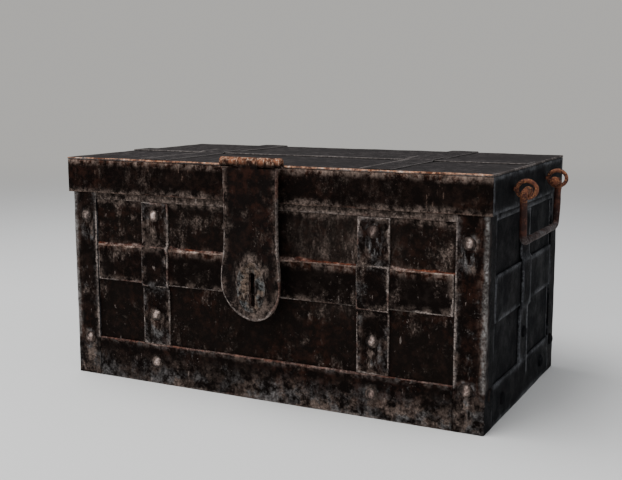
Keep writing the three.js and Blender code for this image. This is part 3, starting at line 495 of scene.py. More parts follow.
# %% Settings
USUAL = {
    "red": RED,  # the tone of the rust patches
    "grey": DUST,  # the dust, and with "tint" a second tone of it in patches
    "halo": 0.55,  # how thick dust lies round rivets, over the distances in "around"
    "around": (15, 6),
    "soil": 0.5,  # dust caught along the arrises
    "crisp": (0.40, 0.60),  # how sharply the patches of a dusty zone end, and the least that stays
    "least": 1.0,
    "pale": PALE,  # bare metal, its dull share, and how far it reaches from the arris
    "dull": 0.35,
    "thick": 5.0,
    "solid": 0.15,  # how little of a worn line's width is left in its short and in its long gaps
    "steady": 0.25,
    "blush": 0.75,  # how much of a worn line is reddish
    "flecks": 0.6,  # how strong the bare specks and scratches are
    "stain": (7, 0.5),  # how far and how strongly rust runs below upper edges, its spread and its tone
    "spread": 16,
    "patch": (0.16, 0.115, 0.094),
    "tones": LEDGE,  # dark, bright and brightest tone of the line along an upper edge, the last a painted highlight, with its reach
    "ledge": 4.2,
    "core": 0.6,
    "coppers": COPPER_RUST_AND_HIGHLIGHT,  # the tones of copper-coloured rust above the height "copper", the last a painted highlight
    "glow": (0.50, 0.66),  # where its brightest tone, a painted highlight, sets in, and how far that is drawn out downwards
    "strands": 1.0,
    "waver": 0.006,  # how wavy and how soft its lower border is
    "blur": 0.004,
    "sides": (COOL_LIT_SIDE_SKIN, COOL_LIT_SIDE_WORN),  # with "flank", the skin and worn tone of faces that look sideways, as painted light
    "shine": 0.035,
    "rough": (0.55, 0.85),
    "relief": 0.001,  # how deep the fine bump is
}
print("settings with a usual value:", len(USUAL))

# %% [markdown]
# ## The shared patterns
# Dust, rust and wear lie over each other in the real box, so their layers read the same few noises. They
# run from broad clouds to specks, and one is drawn out downwards, as water runs.


# %% Patterns of one finish
class Finish:
    """One iron material with its settings and the patterns that its layers share."""

    def __init__(self, name, seed, settings):
        self.material = bpy.data.materials.new(name)
        self.material.use_nodes = True
        self.tree = self.material.node_tree
        self.seed = seed
        self.set = {**USUAL, **settings}
        spot = add_node(self.tree, "ShaderNodeTexCoord")
        self.place, self.facing = spot.outputs["Object"], spot.outputs["Normal"]
        self.height = self.split(self.place)["Z"]
        self.broad = self.grain(9, 4, 0.6, 0)
        self.cloud = self.grain(24, 9, 0.72, 3)
        self.mottle = self.grain(85, 8, 0.72, 5)
        self.speck = self.grain(330, 5, 0.7, 8)
        self.runs = self.grain(95, 8, 0.72, 11, 0.35)
        self.scratch = self.grain(210, 3, 0.6, 17, 0.22)
        gaps = self.fade(self.grain(42, 6, 0.7, 14), 0.40, 0.62, self.set["solid"])
        stretches = self.fade(self.grain(13, 3, 0.5, 19), 0.40, 0.56, self.set["steady"])
        self.width = self.times(gaps, stretches)

    def split(self, vector):
        made = add_node(self.tree, "ShaderNodeSeparateXYZ")
        self.tree.links.new(vector, made.inputs["Vector"])
        return made.outputs

    def grain(self, scale, detail, rough, offset, stretch=1.0):
        """Noise between 0 and 1, drawn out in height where `stretch` is under 1."""
        seed = self.seed + offset
        spot = add_node(self.tree, "ShaderNodeMapping")
        spot.inputs["Location"].default_value = (seed * 1.7, seed * 0.9, seed * 1.3)
        spot.inputs["Scale"].default_value = (1, 1, stretch)
        made = add_node(self.tree, "ShaderNodeTexNoise")
        made.inputs["Scale"].default_value = scale
        made.inputs["Detail"].default_value = detail
        made.inputs["Roughness"].default_value = rough
        self.tree.links.new(self.place, spot.inputs["Vector"])
        self.tree.links.new(spot.outputs["Vector"], made.inputs["Vector"])
        return made.outputs["Fac"]

    def fade(self, value, start, end, low=0.0, high=1.0):
        """A smooth step from `low` at the start to `high` at the end."""
        made = add_node(self.tree, "ShaderNodeMapRange", interpolation_type="SMOOTHSTEP")
        for key, number in (("From Min", start), ("From Max", end), ("To Min", low), ("To Max", high)):
            made.inputs[key].default_value = number
        self.tree.links.new(value, made.inputs["Value"])
        return made.outputs["Result"]

    def sums(self, operation, first, second):
        made = add_node(self.tree, "ShaderNodeMath", operation=operation)
        for socket, part in zip(made.inputs, (first, second)):
            if isinstance(part, (int, float)):
                socket.default_value = part
            else:
                self.tree.links.new(part, socket)
        return made.outputs["Value"]

    def times(self, first, second):
        return self.sums("MULTIPLY", first, second)

    def most(self, first, second):
        return self.sums("MAXIMUM", first, second)

    def shaken(self, value, jitter, amount):
        """The value, moved up and down by a noise."""
        return self.sums("ADD", value, self.times(self.sums("SUBTRACT", jitter, 0.5), amount))

    def distance(self, label, jitter, amount):
        """One of the wear distances in millimetres, with a wavy border."""
        layer = add_node(self.tree, "ShaderNodeAttribute", attribute_name=label)
        return self.shaken(layer.outputs["Fac"], jitter, amount)

    def blend(self, share, under, over):
        made = add_node(self.tree, "ShaderNodeMix", data_type="RGBA")
        self.tree.links.new(share, made.inputs["Factor"])
        for socket, value in ((made.inputs[6], under), (made.inputs[7], over)):
            if isinstance(value, tuple):
                socket.default_value = (*value, 1)
            else:
                self.tree.links.new(value, socket)
        return made.outputs[2]


def scaled(tone, share):
    return tuple(share * part for part in tone)


print("steps a finish can take:", [name for name in vars(Finish) if not name.startswith("_")])

# %% [markdown]
# ## Skin and dust
# The lowest layer is the black skin with brown and red rust in it. Dust lies over it in clouds. It is
# thicker in a zone between two heights, round one place, round rivets and along the arrises, whichever is
# most.


# %% Skin and dust
def skin_layer(it, skin, brown, rust):
    colour = it.blend(it.fade(it.mottle, 0.44, 0.72), skin, brown)
    rusty = it.times(it.fade(it.broad, 0.48, 0.64), it.fade(it.mottle, 0.42, 0.64, 0.0, rust))
    return it.blend(rusty, colour, it.set["red"])


def scattered_dust(it, dust):
    dusty = it.times(it.fade(it.cloud, 0.50, 0.66), it.fade(it.runs, 0.44, 0.66, 0.0, dust))
    dusty = it.times(dusty, it.fade(it.speck, 0.36, 0.60, 0.3))
    if "rising" in it.set:
        dusty = it.times(dusty, it.fade(it.height, *it.set["rising"], 0.6, 1.2))
    return dusty


def haze_dust(it):
    """A dusty cloud round one place."""
    away = add_node(it.tree, "ShaderNodeVectorMath", operation="DISTANCE")
    away.inputs[1].default_value = it.set["haze"]
    it.tree.links.new(it.place, away.inputs[0])
    near = it.fade(away.outputs["Value"], 0.10, 0.05, 0.0, 0.55)
    close = it.times(near, it.fade(it.cloud, 0.42, 0.58, 0.25))
    return it.times(close, it.fade(it.runs, 0.44, 0.62, 0.12))


def zone_dust(it):
    """Dust that thickens from one height to another, with a painted shadow as a darker line between the
    heights of "under".
    """
    clear, thick, amount = it.set["zone"]
    wavy = it.shaken(it.height, it.cloud, 0.03)
    deep = it.times(it.fade(wavy, clear, thick, 0.0, amount), it.fade(it.mottle, *it.set["crisp"]))
    deep = it.times(deep, it.fade(it.broad, 0.36, 0.56, it.set["least"]))
    # Painted shadow: less dust between the heights of "under" leaves a dark line below the lid's skirt.
    if "under" in it.set:
        deep = it.times(deep, it.fade(it.height, *it.set["under"], 1.0, 0.55))
    return it.times(deep, it.fade(it.runs, 0.34, 0.56, 0.25))


def dust_layer(it, colour, dust):
    dusty = scattered_dust(it, dust)
    if "haze" in it.set:
        dusty = it.most(dusty, haze_dust(it))
    if "zone" in it.set:
        dusty = it.most(dusty, zone_dust(it))
    ring = it.fade(it.distance("halo", it.cloud, 30), *it.set["around"], 0.0, it.set["halo"])
    dusty = it.most(dusty, it.times(ring, it.fade(it.runs, 0.44, 0.60)))
    soil = it.fade(it.distance("arris", it.cloud, 14), 9, 1.0, 0.0, it.set["soil"])
    dusty = it.most(dusty, it.times(soil, it.fade(it.mottle, 0.44, 0.60)))
    grainy = it.fade(it.speck, 0.38, 0.62)
    powder = it.blend(grainy, scaled(it.set["grey"], 0.5), scaled(it.set["grey"], 1.45))
    if "tint" in it.set:
        tinted = it.blend(grainy, scaled(it.set["tint"], 0.5), scaled(it.set["tint"], 1.45))
        powder = it.blend(it.fade(it.grain(38, 4, 0.6, 27), 0.44, 0.56), powder, tinted)
    return it.blend(dusty, colour, powder)


print("dust layers:", [call.__name__ for call in (scattered_dust, haze_dust, zone_dust)])

# %% [markdown]
# ## Worn lines and flecks
# Bare metal shows along the arrises, wide in some stretches and gone in others. On a piece that turns a
# corner, such as a corner angle, the faces that look sideways get a skin of their own first, as painted
# light: darker and bluer on the iron's corners, lighter on the lid's straps.


# %% Worn lines and flecks
def flank_layer(it, colour, pale_tone, dull_tone):
    turn = it.split(it.facing)
    # Painted light: how far a face looks sideways sets how much it takes the sideways tones.
    sideways = it.fade(it.sums("ABSOLUTE", turn["X"], 0), *it.set["flank"])
    if "toe" in it.set:
        sideways = it.most(sideways, it.fade(turn["Y"], *it.set["toe"]))
    side_skin_with_painted_light, side_worn_with_painted_light = it.set["sides"]
    colour = it.blend(it.times(sideways, 0.93), colour, side_skin_with_painted_light)
    return colour, it.blend(sideways, pale_tone, side_worn_with_painted_light), it.blend(sideways, dull_tone, side_skin_with_painted_light)


def rubbed_layer(it, colour, line):
    pale_tone, dull_tone = scaled(it.set["pale"], 1.25), scaled(it.set["pale"], it.set["dull"])
    if "flank" in it.set:
        colour, pale_tone, dull_tone = flank_layer(it, colour, pale_tone, dull_tone)
    reach = it.sums("DIVIDE", it.distance("arris", it.mottle, 4.5), it.width)
    rubbed = it.fade(reach, it.set["thick"], 0.8, 0.0, line)
    rubbed = it.times(rubbed, it.fade(it.speck, 0.38, 0.60, 0.2))
    rubbed = it.times(rubbed, it.fade(it.runs, 0.38, 0.54, 0.5))
    tone = it.blend(it.fade(it.cloud, 0.42, 0.58), pale_tone, dull_tone)
    if "flank" not in it.set:
        reddish = it.fade(it.grain(17, 5, 0.6, 23), 0.50, 0.60, 0.0, it.set["blush"])
        tone = it.blend(reddish, tone, BLUSH)
    return it.blend(rubbed, colour, tone)


def fleck_layer(it, colour):
    """Bare specks, and short scratches that run downwards."""
    specks = it.times(it.fade(it.speck, 0.625, 0.68), it.fade(it.cloud, 0.46, 0.60))
    scratches = it.times(it.fade(it.scratch, 0.655, 0.70), it.fade(it.mottle, 0.5, 0.6))
    return it.blend(it.times(it.most(specks, scratches), it.set["flecks"]), colour, it.set["pale"])


print("line layers:", [call.__name__ for call in (flank_layer, rubbed_layer, fleck_layer)])

# %% [markdown]
# ## Upper edges and copper-coloured rust, with painted highlights
# Damp lies on upper edges, so rust runs down from them, and the edge itself shows as a broken bright line,
# rust with a painted highlight. The hasp's barrel and the handles are copper-coloured and orange above a
# certain height, rust with a painted highlight in fine streaks.


# %% Upper edges, copper-coloured rust and painted highlights
def stain_layer(it, colour, crown):
    far, strong = it.set["stain"]
    stain = it.fade(it.distance("crown", it.cloud, it.set["spread"]), far, 0.5, 0.0, strong * crown)
    stain = it.times(stain, it.fade(it.runs, 0.36, 0.56))
    stain = it.times(stain, it.fade(it.scratch, 0.42, 0.58, 0.25))
    stain = it.times(stain, it.fade(it.mottle, 0.38, 0.54, 0.4))
    return it.blend(stain, colour, it.blend(it.fade(it.mottle, 0.42, 0.58), STAIN, it.set["patch"]))


def ledge_layer(it, colour, crown):
    below = it.sums("DIVIDE", it.distance("crown", it.mottle, 4.5), it.width)
    ledge = it.fade(below, it.set["ledge"], it.set["core"], 0.0, crown)
    ledge = it.times(ledge, it.fade(it.speck, 0.38, 0.60, 0.25))
    # The brightest tone is a painted highlight on the edge.
    dark, bright, brightest = it.set["tones"]
    glint = it.blend(it.fade(it.mottle, 0.42, 0.54), dark, bright)
    glint = it.blend(it.fade(it.mottle, 0.55, 0.64), glint, brightest)
    # The rosy stretches are a painted highlight too.
    if "rosy" in it.set:
        stretch = it.fade(it.grain(15, 4, 0.6, 31), 0.48, 0.56, 0.0, it.set["rosy"])
        glint = it.blend(stretch, glint, it.blend(it.fade(it.mottle, 0.42, 0.58), ROSY_DARK, ROSY_PALE))
    return it.blend(ledge, colour, glint)


def copper_layer(it, colour):
    start = it.set["copper"]
    above = it.fade(it.shaken(it.height, it.cloud, it.set["waver"]), start, start + it.set["blur"])
    deep_tone, plain_tone, gleam = it.set["coppers"]
    metal = it.blend(it.fade(it.mottle, 0.40, 0.56), deep_tone, plain_tone)
    strands = it.grain(420, 5, 0.7, 29, it.set["strands"])
    # The brightest tone, in fine streaks, is a painted highlight.
    return it.blend(above, colour, it.blend(it.fade(strands, *it.set["glow"]), metal, gleam))


print("edge layers:", [call.__name__ for call in (stain_layer, ledge_layer, copper_layer)])

# %% [markdown]
# ## The layered iron
# The layers go on in the order in which they came about. The skin is hardly shiny, because rust scatters
# light, and a fine bump makes it look pitted. Real pits would take millions of points.

# %% The layered iron
BUMP_STRENGTH = 0.7


def iron(name, skin, brown, rust, dust, line, crown, seed, **settings):
    it = Finish(name, seed, settings)
    colour = skin_layer(it, skin, brown, rust)
    colour = dust_layer(it, colour, dust)
    colour = rubbed_layer(it, colour, line)
    colour = fleck_layer(it, colour)
    colour = stain_layer(it, colour, crown)
    colour = ledge_layer(it, colour, crown)
    if "copper" in it.set:
        colour = copper_layer(it, colour)
    shader = it.tree.nodes["Principled BSDF"]
    it.tree.links.new(colour, shader.inputs["Base Color"])
    shader.inputs["Specular IOR Level"].default_value = it.set["shine"]
    it.tree.links.new(it.fade(it.cloud, 0.35, 0.65, *it.set["rough"]), shader.inputs["Roughness"])
    relief = add_node(it.tree, "ShaderNodeBump")
    relief.inputs["Strength"].default_value = BUMP_STRENGTH
    relief.inputs["Distance"].default_value = it.set["relief"]
    pits = it.sums("ADD", it.mottle, it.times(it.speck, 0.6))
    it.tree.links.new(pits, relief.inputs["Height"])
    it.tree.links.new(relief.outputs["Normal"], shader.inputs["Normal"])
    return it.material


print("bump strength:", BUMP_STRENGTH)

# %% [markdown]
# ## Front of the box
# The front panel is dustiest beside the hasp and just below the top band, and rusty above the middle band.
# The bottom band is caked towards the ground, and the top band is pale with a painted shadow, a dark line,
# under the lid's skirt.

# %% Front, straps and bands
finishes = {}
finishes["front"] = iron(
    "front iron", (0.0042, 0.0027, 0.0021), BROWN, rust=0.25, dust=0.95, line=0.7, crown=1.0, seed=1.0,
    tones=RUST_LINE_WITH_HIGHLIGHT, ledge=6.5, core=1.6, solid=0.55, steady=0.55, stain=(9, 0.3), rosy=0.9, flecks=0.35,
    rising=(0.09, 0.17), haze=(0.115, -0.166, 0.205), zone=(0.2415, 0.2495, 1.0), least=0.7,
)
finishes["strap"] = iron(
    "strap iron", BLACK, BROWN, rust=0.30, dust=0.9, line=0.85, crown=0.0, seed=1.3,
    halo=1.0, tint=GREY_DUST,
)
# The rim's "under" heights paint a shadow line just below the lid's skirt.
finishes["rim"] = iron(
    "rim iron", BLACK, BROWN, rust=0.3, dust=0.9, line=0.30, crown=0.2, seed=2.2,
    zone=(0.240, 0.254, 0.85), crisp=(0.34, 0.54), under=(0.2545, 0.2572), grey=(0.138, 0.104, 0.087),
)
finishes["mid"] = iron(
    "mid band iron", BLACK, (0.0095, 0.0062, 0.0050), rust=0.2, dust=0.8, line=0.8, crown=0.95, seed=2.0,
    ledge=5.5, stain=(12, 0.65), flecks=0.4,
)
finishes["band"] = iron(
    "band iron", BLACK, BROWN, rust=0.4, dust=0.55, line=0.4, crown=0.45, seed=2.0,
    zone=(0.048, 0.004, 0.9), least=0.25, tones=RUST_LINE_WITH_HIGHLIGHT, rosy=0.6, flecks=0.4, soil=0.3, tint=GREY_DUST,
)
print("front finishes:", list(finishes))

# %% [markdown]
# ## Corners and sides
# A corner angle has a broad grey line down its edge. Its side face is as dark as the box's sides, which are
# nearly black with a blue tinge of painted cool light and only two thin bright lines, which are painted
# highlights.

# %% Corners and sides
finishes["corner"] = iron(
    "corner iron", BLACK, BROWN, rust=0.4, dust=0.8, line=0.85, crown=0.95, seed=2.6,
    zone=(0.060, 0.016, 0.8), least=0.5, tones=CORNER_LINE, ledge=11.0, solid=0.6, steady=0.6,
    stain=(14, 0.5), flank=(0.75, 0.9), flecks=0.4, halo=0.9, tint=GREY_DUST,
)
finishes["back corner"] = iron(
    "back corner iron", BLACK, BROWN, rust=0.4, dust=0.8, line=0.85, crown=0.6, seed=2.7,
    zone=(0.060, 0.016, 0.8), least=0.5, tones=EDGE_LINE, ledge=6.5, steady=0.7,
    stain=(14, 0.0), flank=(0.55, 0.7), toe=(-0.4, -0.7), flecks=0.4, halo=0.9,
)
# The side's bluish skin, dust and worn lines are painted cool light, and its thin lines are painted
# highlights.
finishes["side"] = iron(
    "side iron", COOL_LIT_SIDE_SKIN, (0.0085, 0.0088, 0.0100), rust=0.05, dust=0.12, line=0.75, crown=0.9, seed=3.0,
    grey=(0.034, 0.035, 0.039), pale=(0.110, 0.113, 0.122), tones=THIN_HIGHLIGHT,
    thick=8.0, solid=0.7, steady=0.7, stain=(7, 0.0), flecks=0.3, blush=0.0, soil=0.8, halo=0.9, shine=0.03,
)
print("finishes so far:", len(finishes))

# %% [markdown]
# ## Lid
# The lid's top is dull slate grey and its straps hardly differ from it, with painted light on their flanks
# so that these don't go black in shade. Its front edge is bright with copper tones of rust and a painted
# highlight, rust runs down from there over the skirt, and the skirt's foot is pale again.

# %% Lid
LID_GREY = {"grey": (0.058, 0.052, 0.051), "pale": (0.150, 0.132, 0.124), "red": SLATE_DARK}

finishes["skirt"] = iron(
    "skirt iron", BLACK, BROWN, rust=0.25, dust=0.45, line=0.40, crown=0.9, seed=1.6,
    zone=(0.2705, 0.2605, 1.0), stain=(12.5, 1.0), spread=8, ledge=4.5, flecks=0.4,
    pale=(0.16, 0.105, 0.080), patch=(0.24, 0.175, 0.142),
    tones=((0.060, 0.027, 0.018), (0.19, 0.125, 0.098), (0.34, 0.26, 0.215)),
)
# The straps' flanks get a light grey tone, painted light on faces that would be in shade, and their bright
# line on the near edge is a painted highlight.
finishes["lid"] = iron(
    "lid iron", SLATE, SLATE_PALE, rust=0.8, dust=0.5, line=0.95, crown=0.0, seed=4.0,
    **LID_GREY, thick=9.0, solid=0.8, steady=0.7, dull=0.8, flank=(0.5, 0.7),
    sides=((0.17, 0.155, 0.150), (0.19, 0.175, 0.17)), flecks=0.2, soil=0.2, shine=0.02, rough=(0.8, 0.95),
)
# The lid's front edge is copper-coloured rust with a painted highlight in its palest tone.
finishes["edge"] = iron(
    "lid edge iron", SLATE, SLATE_PALE, rust=0.8, dust=0.5, line=0.95, crown=1.0, seed=4.4,
    **LID_GREY, ledge=2.8, thick=4.5, solid=0.5, blush=0.15, flecks=0.2, soil=0.1,
    shine=0.02, rough=(0.8, 0.95),
    tones=((0.110, 0.040, 0.020), (0.46, 0.24, 0.145), (0.75, 0.60, 0.50)),
)
print("finishes so far:", len(finishes))

# %% [markdown]
# ## Hasp
# The hasp is brown and turns copper-coloured on the top of the roll round its pin: rust with painted light
# and highlights above, and painted shade below. Dust is caked in the boss, tan in some patches and grey in
# others, and lies on the plate round it.

# %% Hasp
# On the barrel the copper tones start at about its middle height: painted light on its top and painted
# shade below, with a painted highlight in streaks.
finishes["hasp"] = iron(
    "hasp iron", (0.0032, 0.0018, 0.0014), (0.0150, 0.0066, 0.0046),
    rust=0.35, dust=0.50, line=0.95, crown=0.0, seed=5.0,
    zone=(0.160, 0.112, 1.0), crisp=(0.43, 0.58), halo=0.9, around=(31, 20), flecks=0.4,
    copper=0.3075, blur=0.007, strands=0.22, shine=0.05, relief=0.0015,
)
finishes["boss"] = iron(
    "boss iron", (0.0040, 0.0024, 0.0020), (0.030, 0.019, 0.015),
    rust=0.4, dust=0.9, line=0.30, crown=0.0, seed=5.5,
    zone=(0.25, 0.20, 1.0), crisp=(0.44, 0.56), grey=(0.128, 0.092, 0.070), tint=(0.094, 0.098, 0.096),
    relief=0.004,
)
print("finishes so far:", len(finishes))

# %% [markdown]
# ## Rivets, handles and inside
# Rivet heads are rubbed almost white near the top, wear with a painted highlight. The rings and the upper
# legs of the bails are orange with rust, with painted highlights in streaks, and the grip is grey where
# hands kept it bare.

# %% Rivets, handles and inside
# The rivet's pale spot is wear with a painted highlight.
finishes["rivet"] = iron(
    "rivet iron", (0.0050, 0.0030, 0.0024), (0.026, 0.017, 0.014),
    rust=0.4, dust=0.8, line=1.0, crown=0.0, seed=6.0,
    pale=(0.62, 0.475, 0.42), thick=7.0, solid=0.6, steady=0.8, blush=0.5, flecks=0.2, soil=0.3,
    halo=0.6, shine=0.12, rough=(0.45, 0.7),
)
# The palest orange of the rings and bails, in fine streaks, is a painted highlight.
finishes["ring"] = iron(
    "ring iron", (0.030, 0.009, 0.005), (0.34, 0.115, 0.038),
    rust=0.4, dust=0.1, line=0.3, crown=0.0, seed=7.0,
    copper=0.0, coppers=ORANGE_RUST_AND_HIGHLIGHT, glow=(0.50, 0.68), flecks=0.0, shine=0.2, relief=0.003,
)
finishes["bail"] = iron(
    "bail iron", (0.018, 0.0070, 0.0055), (0.110, 0.038, 0.022),
    rust=0.8, dust=0.3, line=0.3, crown=0.0, seed=8.0,
    zone=(0.2300, 0.2240, 0.95), grey=(0.085, 0.085, 0.087), copper=0.262, blur=0.012, waver=0.02,
    coppers=ORANGE_RUST_AND_HIGHLIGHT, glow=(0.50, 0.68), shine=0.15, relief=0.002,
)
finishes["inside"] = iron(
    "inner iron", (0.010, 0.0085, 0.0080), (0.035, 0.026, 0.021),
    rust=0.7, dust=0.4, line=0.3, crown=0.0, seed=9.0,
)
print("finishes:", len(finishes))

# %% [markdown]
# ## Which piece gets which finish
# A piece's name says what it is, so the start of the name picks the finish. The first match counts, and
# whatever is left, such as the front panel, gets the front's.

# %% Which piece gets which finish
FINISH_OF = (
    ("handle_eye", "ring"),
    ("handle_bail", "bail"),
    ("hasp_boss", "boss"),
    ("hasp", "hasp"),
    ("lid_plate", "edge"),
    ("lid_strap", "lid"),
    ("lid_skirt", "skirt"),
    ("band_top", "rim"),
    ("band_mid", "mid"),
    ("band_bottom", "band"),
    ("strap", "strap"),
    ("corner_angle_back", "back corner"),
    ("corner", "corner"),
    ("rivet", "rivet"),
    ("hinge_pin", "rivet"),
    ("lock_staple", "rivet"),
    ("floor_tray", "inside"),
)


def finish_of(name):
    if on_side(name):
        return finishes["side"]
    for start, finish in FINISH_OF:
        if name.startswith(start):
            return finishes[finish]
    return finishes["front"]


print("pieces with the side's finish:", sum(on_side(name) for name in nodes))

# %% [markdown]
# ## Bars
# Rings, bails and the staple are bent from round bar, which has no facets, so they are drawn again and
# smoother than in the solid model. A curve with a bevel could draw a bar too, but it would be equally
# thick everywhere. Here a circle is set at each step of the bar's middle line, dented a little, and
# bridged to the one before.


# %% Bars
def rounded(corners, bends, steps=8):
    """The corners joined by straight lines, with an arc at each bend."""
    corners = [Vector(c) for c in corners]
    path = [corners[0]]
    for before, corner, after, radius in zip(corners, corners[1:], corners[2:], bends):
        into, away = (corner - before).normalized(), (after - corner).normalized()
        turn = into.angle(away)
        start = corner - into * radius * math.tan(turn / 2)
        centre = corner + (away - into).normalized() * radius / math.cos(turn / 2)
        axis = into.cross(away)
        for step in range(steps + 1):
            path.append(centre + Quaternion(axis, turn * step / steps) @ (start - centre))
    return path + [corners[-1]]


def resample(path, gap):
    dense = [path[0]]
    for a, b in zip(path, path[1:]):
        count = max(1, round((b - a).length / gap))
        dense += [a.lerp(b, (i + 1) / count) for i in range(count)]
    return dense


def close_up(bm):
    """The open ends get a face, and all faces look outwards."""
    bmesh.ops.holes_fill(bm, edges=[edge for edge in bm.edges if edge.is_boundary], sides=0)
    bmesh.ops.recalc_face_normals(bm, faces=bm.faces)


END_DOME = ((0.45, 0.89), (0.8, 0.6))  # how far out, and how wide there


def bar_steps(path, radius, closed, worn):
    """Each step of a bar: its middle, its way, a direction across it and its thickness, with domed ends."""
    count = len(path)
    if closed:
        ahead = [path[(i + 1) % count] - path[i - 1] for i in range(count)]
    else:
        ahead = [path[min(i + 1, count - 1)] - path[max(i - 1, 0)] for i in range(count)]
    side = ahead[0].orthogonal().normalized()
    steps = []
    for point, way in zip(path, ahead):
        way = way.normalized()
        side = (side - way * side.dot(way)).normalized()
        steps.append((point, way, side, worn(point) if worn else 1.0))
    if not closed:
        first, last = steps[0], steps[-1]
        for out, share in END_DOME:
            steps.insert(0, (first[0] - first[1] * radius * 0.5 * out, first[1], first[2], share))
            steps.append((last[0] + last[1] * radius * 0.5 * out, last[1], last[2], share))
    return steps


def bar_ring(bm, step, radius, sides, uneven, shift):
    """The dented circle at one step, as its edges."""
    point, way, across, share = step
    turned_to = Matrix((across.cross(way), across, way)).transposed().to_4x4()
    ring = bmesh.ops.create_circle(bm, segments=sides, radius=radius * share,
                                   matrix=Matrix.Translation(point) @ turned_to)["verts"]
    for v in ring:
        out = (v.co - point) / share
        dent = 1 + uneven * (noise.noise((point + out) * 90 + shift) + noise.noise(point * 35 + shift))
        v.co = point + out * share * dent
    return list({edge for v in ring for edge in v.link_edges})


def sweep(bm, path, radius, seed, sides=18, closed=False, uneven=0.07, worn=None):
    """A bar along the path, and `worn` says how thin it is at a point."""
    shift = Vector((seed * 3.1, seed * 1.3, seed * 2.3))
    steps = bar_steps(path, radius, closed, worn)
    rings = [bar_ring(bm, step, radius, sides, uneven, shift) for step in steps]
    for near, far in zip(rings, rings[1:] + rings[:1] if closed else rings[1:]):
        bmesh.ops.bridge_loops(bm, edges=near + far)
    close_up(bm)


print("a bend of a quarter turn has", len(rounded(((1, 0, 0), (0, 0, 0), (0, 1, 0)), (0.1,))), "points")

# %% [markdown]
# ## Turned forms
# Rivet heads, pins and the small stubs of the handles are round about one axis, so a profile is spun once
# round. A cylinder would be too perfect, so the spun form is dented afterwards.


# %% Turned forms
def turned(bm, place, axis, profile, seed, sides=28, uneven=0.03):
    """A form turned round an axis. The profile holds (how far along the axis, radius) from start to end."""
    place, axis = Vector(place), Vector(axis)
    across = axis.orthogonal().normalized()
    shift = Vector((seed * 2.9, seed * 1.9, seed * 0.7))
    before = set(bm.verts)
    line = [bm.verts.new(place + axis * along + across * radius) for along, radius in profile]
    edges = [bm.edges.new(ends) for ends in zip(line, line[1:])]
    full = 2 * math.pi
    bmesh.ops.spin(bm, geom=line + edges, cent=place, axis=axis, angle=full, steps=sides, use_merge=True)
    for v in set(bm.verts) - before:
        middle = place + axis * (v.co - place).dot(axis)
        dent = 1 + uneven * 2 * noise.noise(v.co * 120 + shift)
        v.co = middle + (v.co - middle) * dent
    close_up(bm)


def dome(radius, height, rings=7):
    turns = [math.pi / 2 * i / rings for i in range(rings)]
    return [(height * math.sin(a), radius * math.cos(a)) for a in turns]


print("a dome's profile has", len(dome(1, 1)), "points")

# %% [markdown]
# ## Handles
# Each eye is a ring on a shank that is riveted through the skirt. The bail's turned-in ends hang in two
# eyes, where it has worn thin, and a small knob keeps it from slipping out. The sizes repeat the solid
# model's, in metres.

# %% Handles
LID_SIDE = 0.3045
EYE = dict(out=0.015, height=0.284, apart=0.076, across=0.0118, tall=0.01026, bar=0.0026)
BAIL = dict(out=0.014, height=0.2808, middle=-0.003, end=0.068, leg=0.0885, drop=0.0605, taper=0.004)
BAIL["bar"] = 0.0045
EYE_STEPS = 44
WORN_THIN, WORN_HALF, WORN_DOWN = 0.87, 0.0055, 0.004
KNOB_HALF = 0.0037


def draw_eye(bm, name, seed):
    side = 1 if "right" in name else -1
    low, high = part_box(name)
    y = (low.y + high.y) / 2
    x = side * (LID_SIDE + EYE["out"])
    angles = [2 * math.pi * i / EYE_STEPS for i in range(EYE_STEPS)]
    path = [
        Vector((x + EYE["across"] * math.cos(angle), y, EYE["height"] + EYE["tall"] * math.sin(angle)))
        for angle in angles
    ]
    sweep(bm, path, EYE["bar"], seed, closed=True)
    start = low.x if side > 0 else high.x
    root = x - side * (EYE["across"] - 0.001)
    foot = [(0, 0.0052), (0.0004, 0.006), (0.001, 0.0058), (0.0011, EYE["bar"])]
    foot += [(abs(root - start), EYE["bar"])]
    turned(bm, (start, y, EYE["height"]), (side, 0, 0), foot, seed)


def draw_bail(bm, name, seed):
    side = 1 if "right" in name else -1
    x = side * (LID_SIDE + BAIL["out"])
    top, grip = BAIL["height"], BAIL["height"] - BAIL["drop"]
    leg, end, foot = BAIL["leg"], BAIL["end"], BAIL["leg"] - BAIL["taper"]
    middle = BAIL["middle"]
    across = ((-end, top), (-leg, top), (-foot, grip), (foot, grip), (leg, top), (end, top))
    corners = [(x, middle + y, z) for y, z in across]
    path = resample(rounded(corners, (0.0065, 0.013, 0.013, 0.0065)), 0.003)

    def worn(point):
        in_eye = abs(abs(point.y - middle) - EYE["apart"]) < WORN_HALF and point.z > top - WORN_DOWN
        return WORN_THIN if in_eye else 1.0

    sweep(bm, path, BAIL["bar"], seed, uneven=0.09, worn=worn)
    knob = [(0, 0.0035), (0.001, 0.0052), (0.0037, 0.0062), (0.0064, 0.0052), (0.0074, 0.0035)]
    for y in (-end, end):
        turned(bm, (x, middle + y - KNOB_HALF, top), (0, 1, 0), knob, seed)


print("grip between the legs:", round(2000 * (BAIL["leg"] - BAIL["taper"] - BAIL["bar"])), "mm")

# %% [markdown]
# ## Staple, rivets and pins
# The staple is a bar bent twice, with a washer under each foot. A rivet has a domed head outside and a
# flat tail inside. The hinge pins have heads, and the hasp's pin is a plain rod.

# %% Staple, rivets and pins
STAPLE_BAR = 0.0021
STAPLE_HALF = 0.016
STAPLE_INSIDE = -0.1596
RIVET_HEAD = dict(radius=0.0085, height=0.0045)
HINGE_PIN = dict(head=0.0025, edge=0.0051, shank=0.0046)


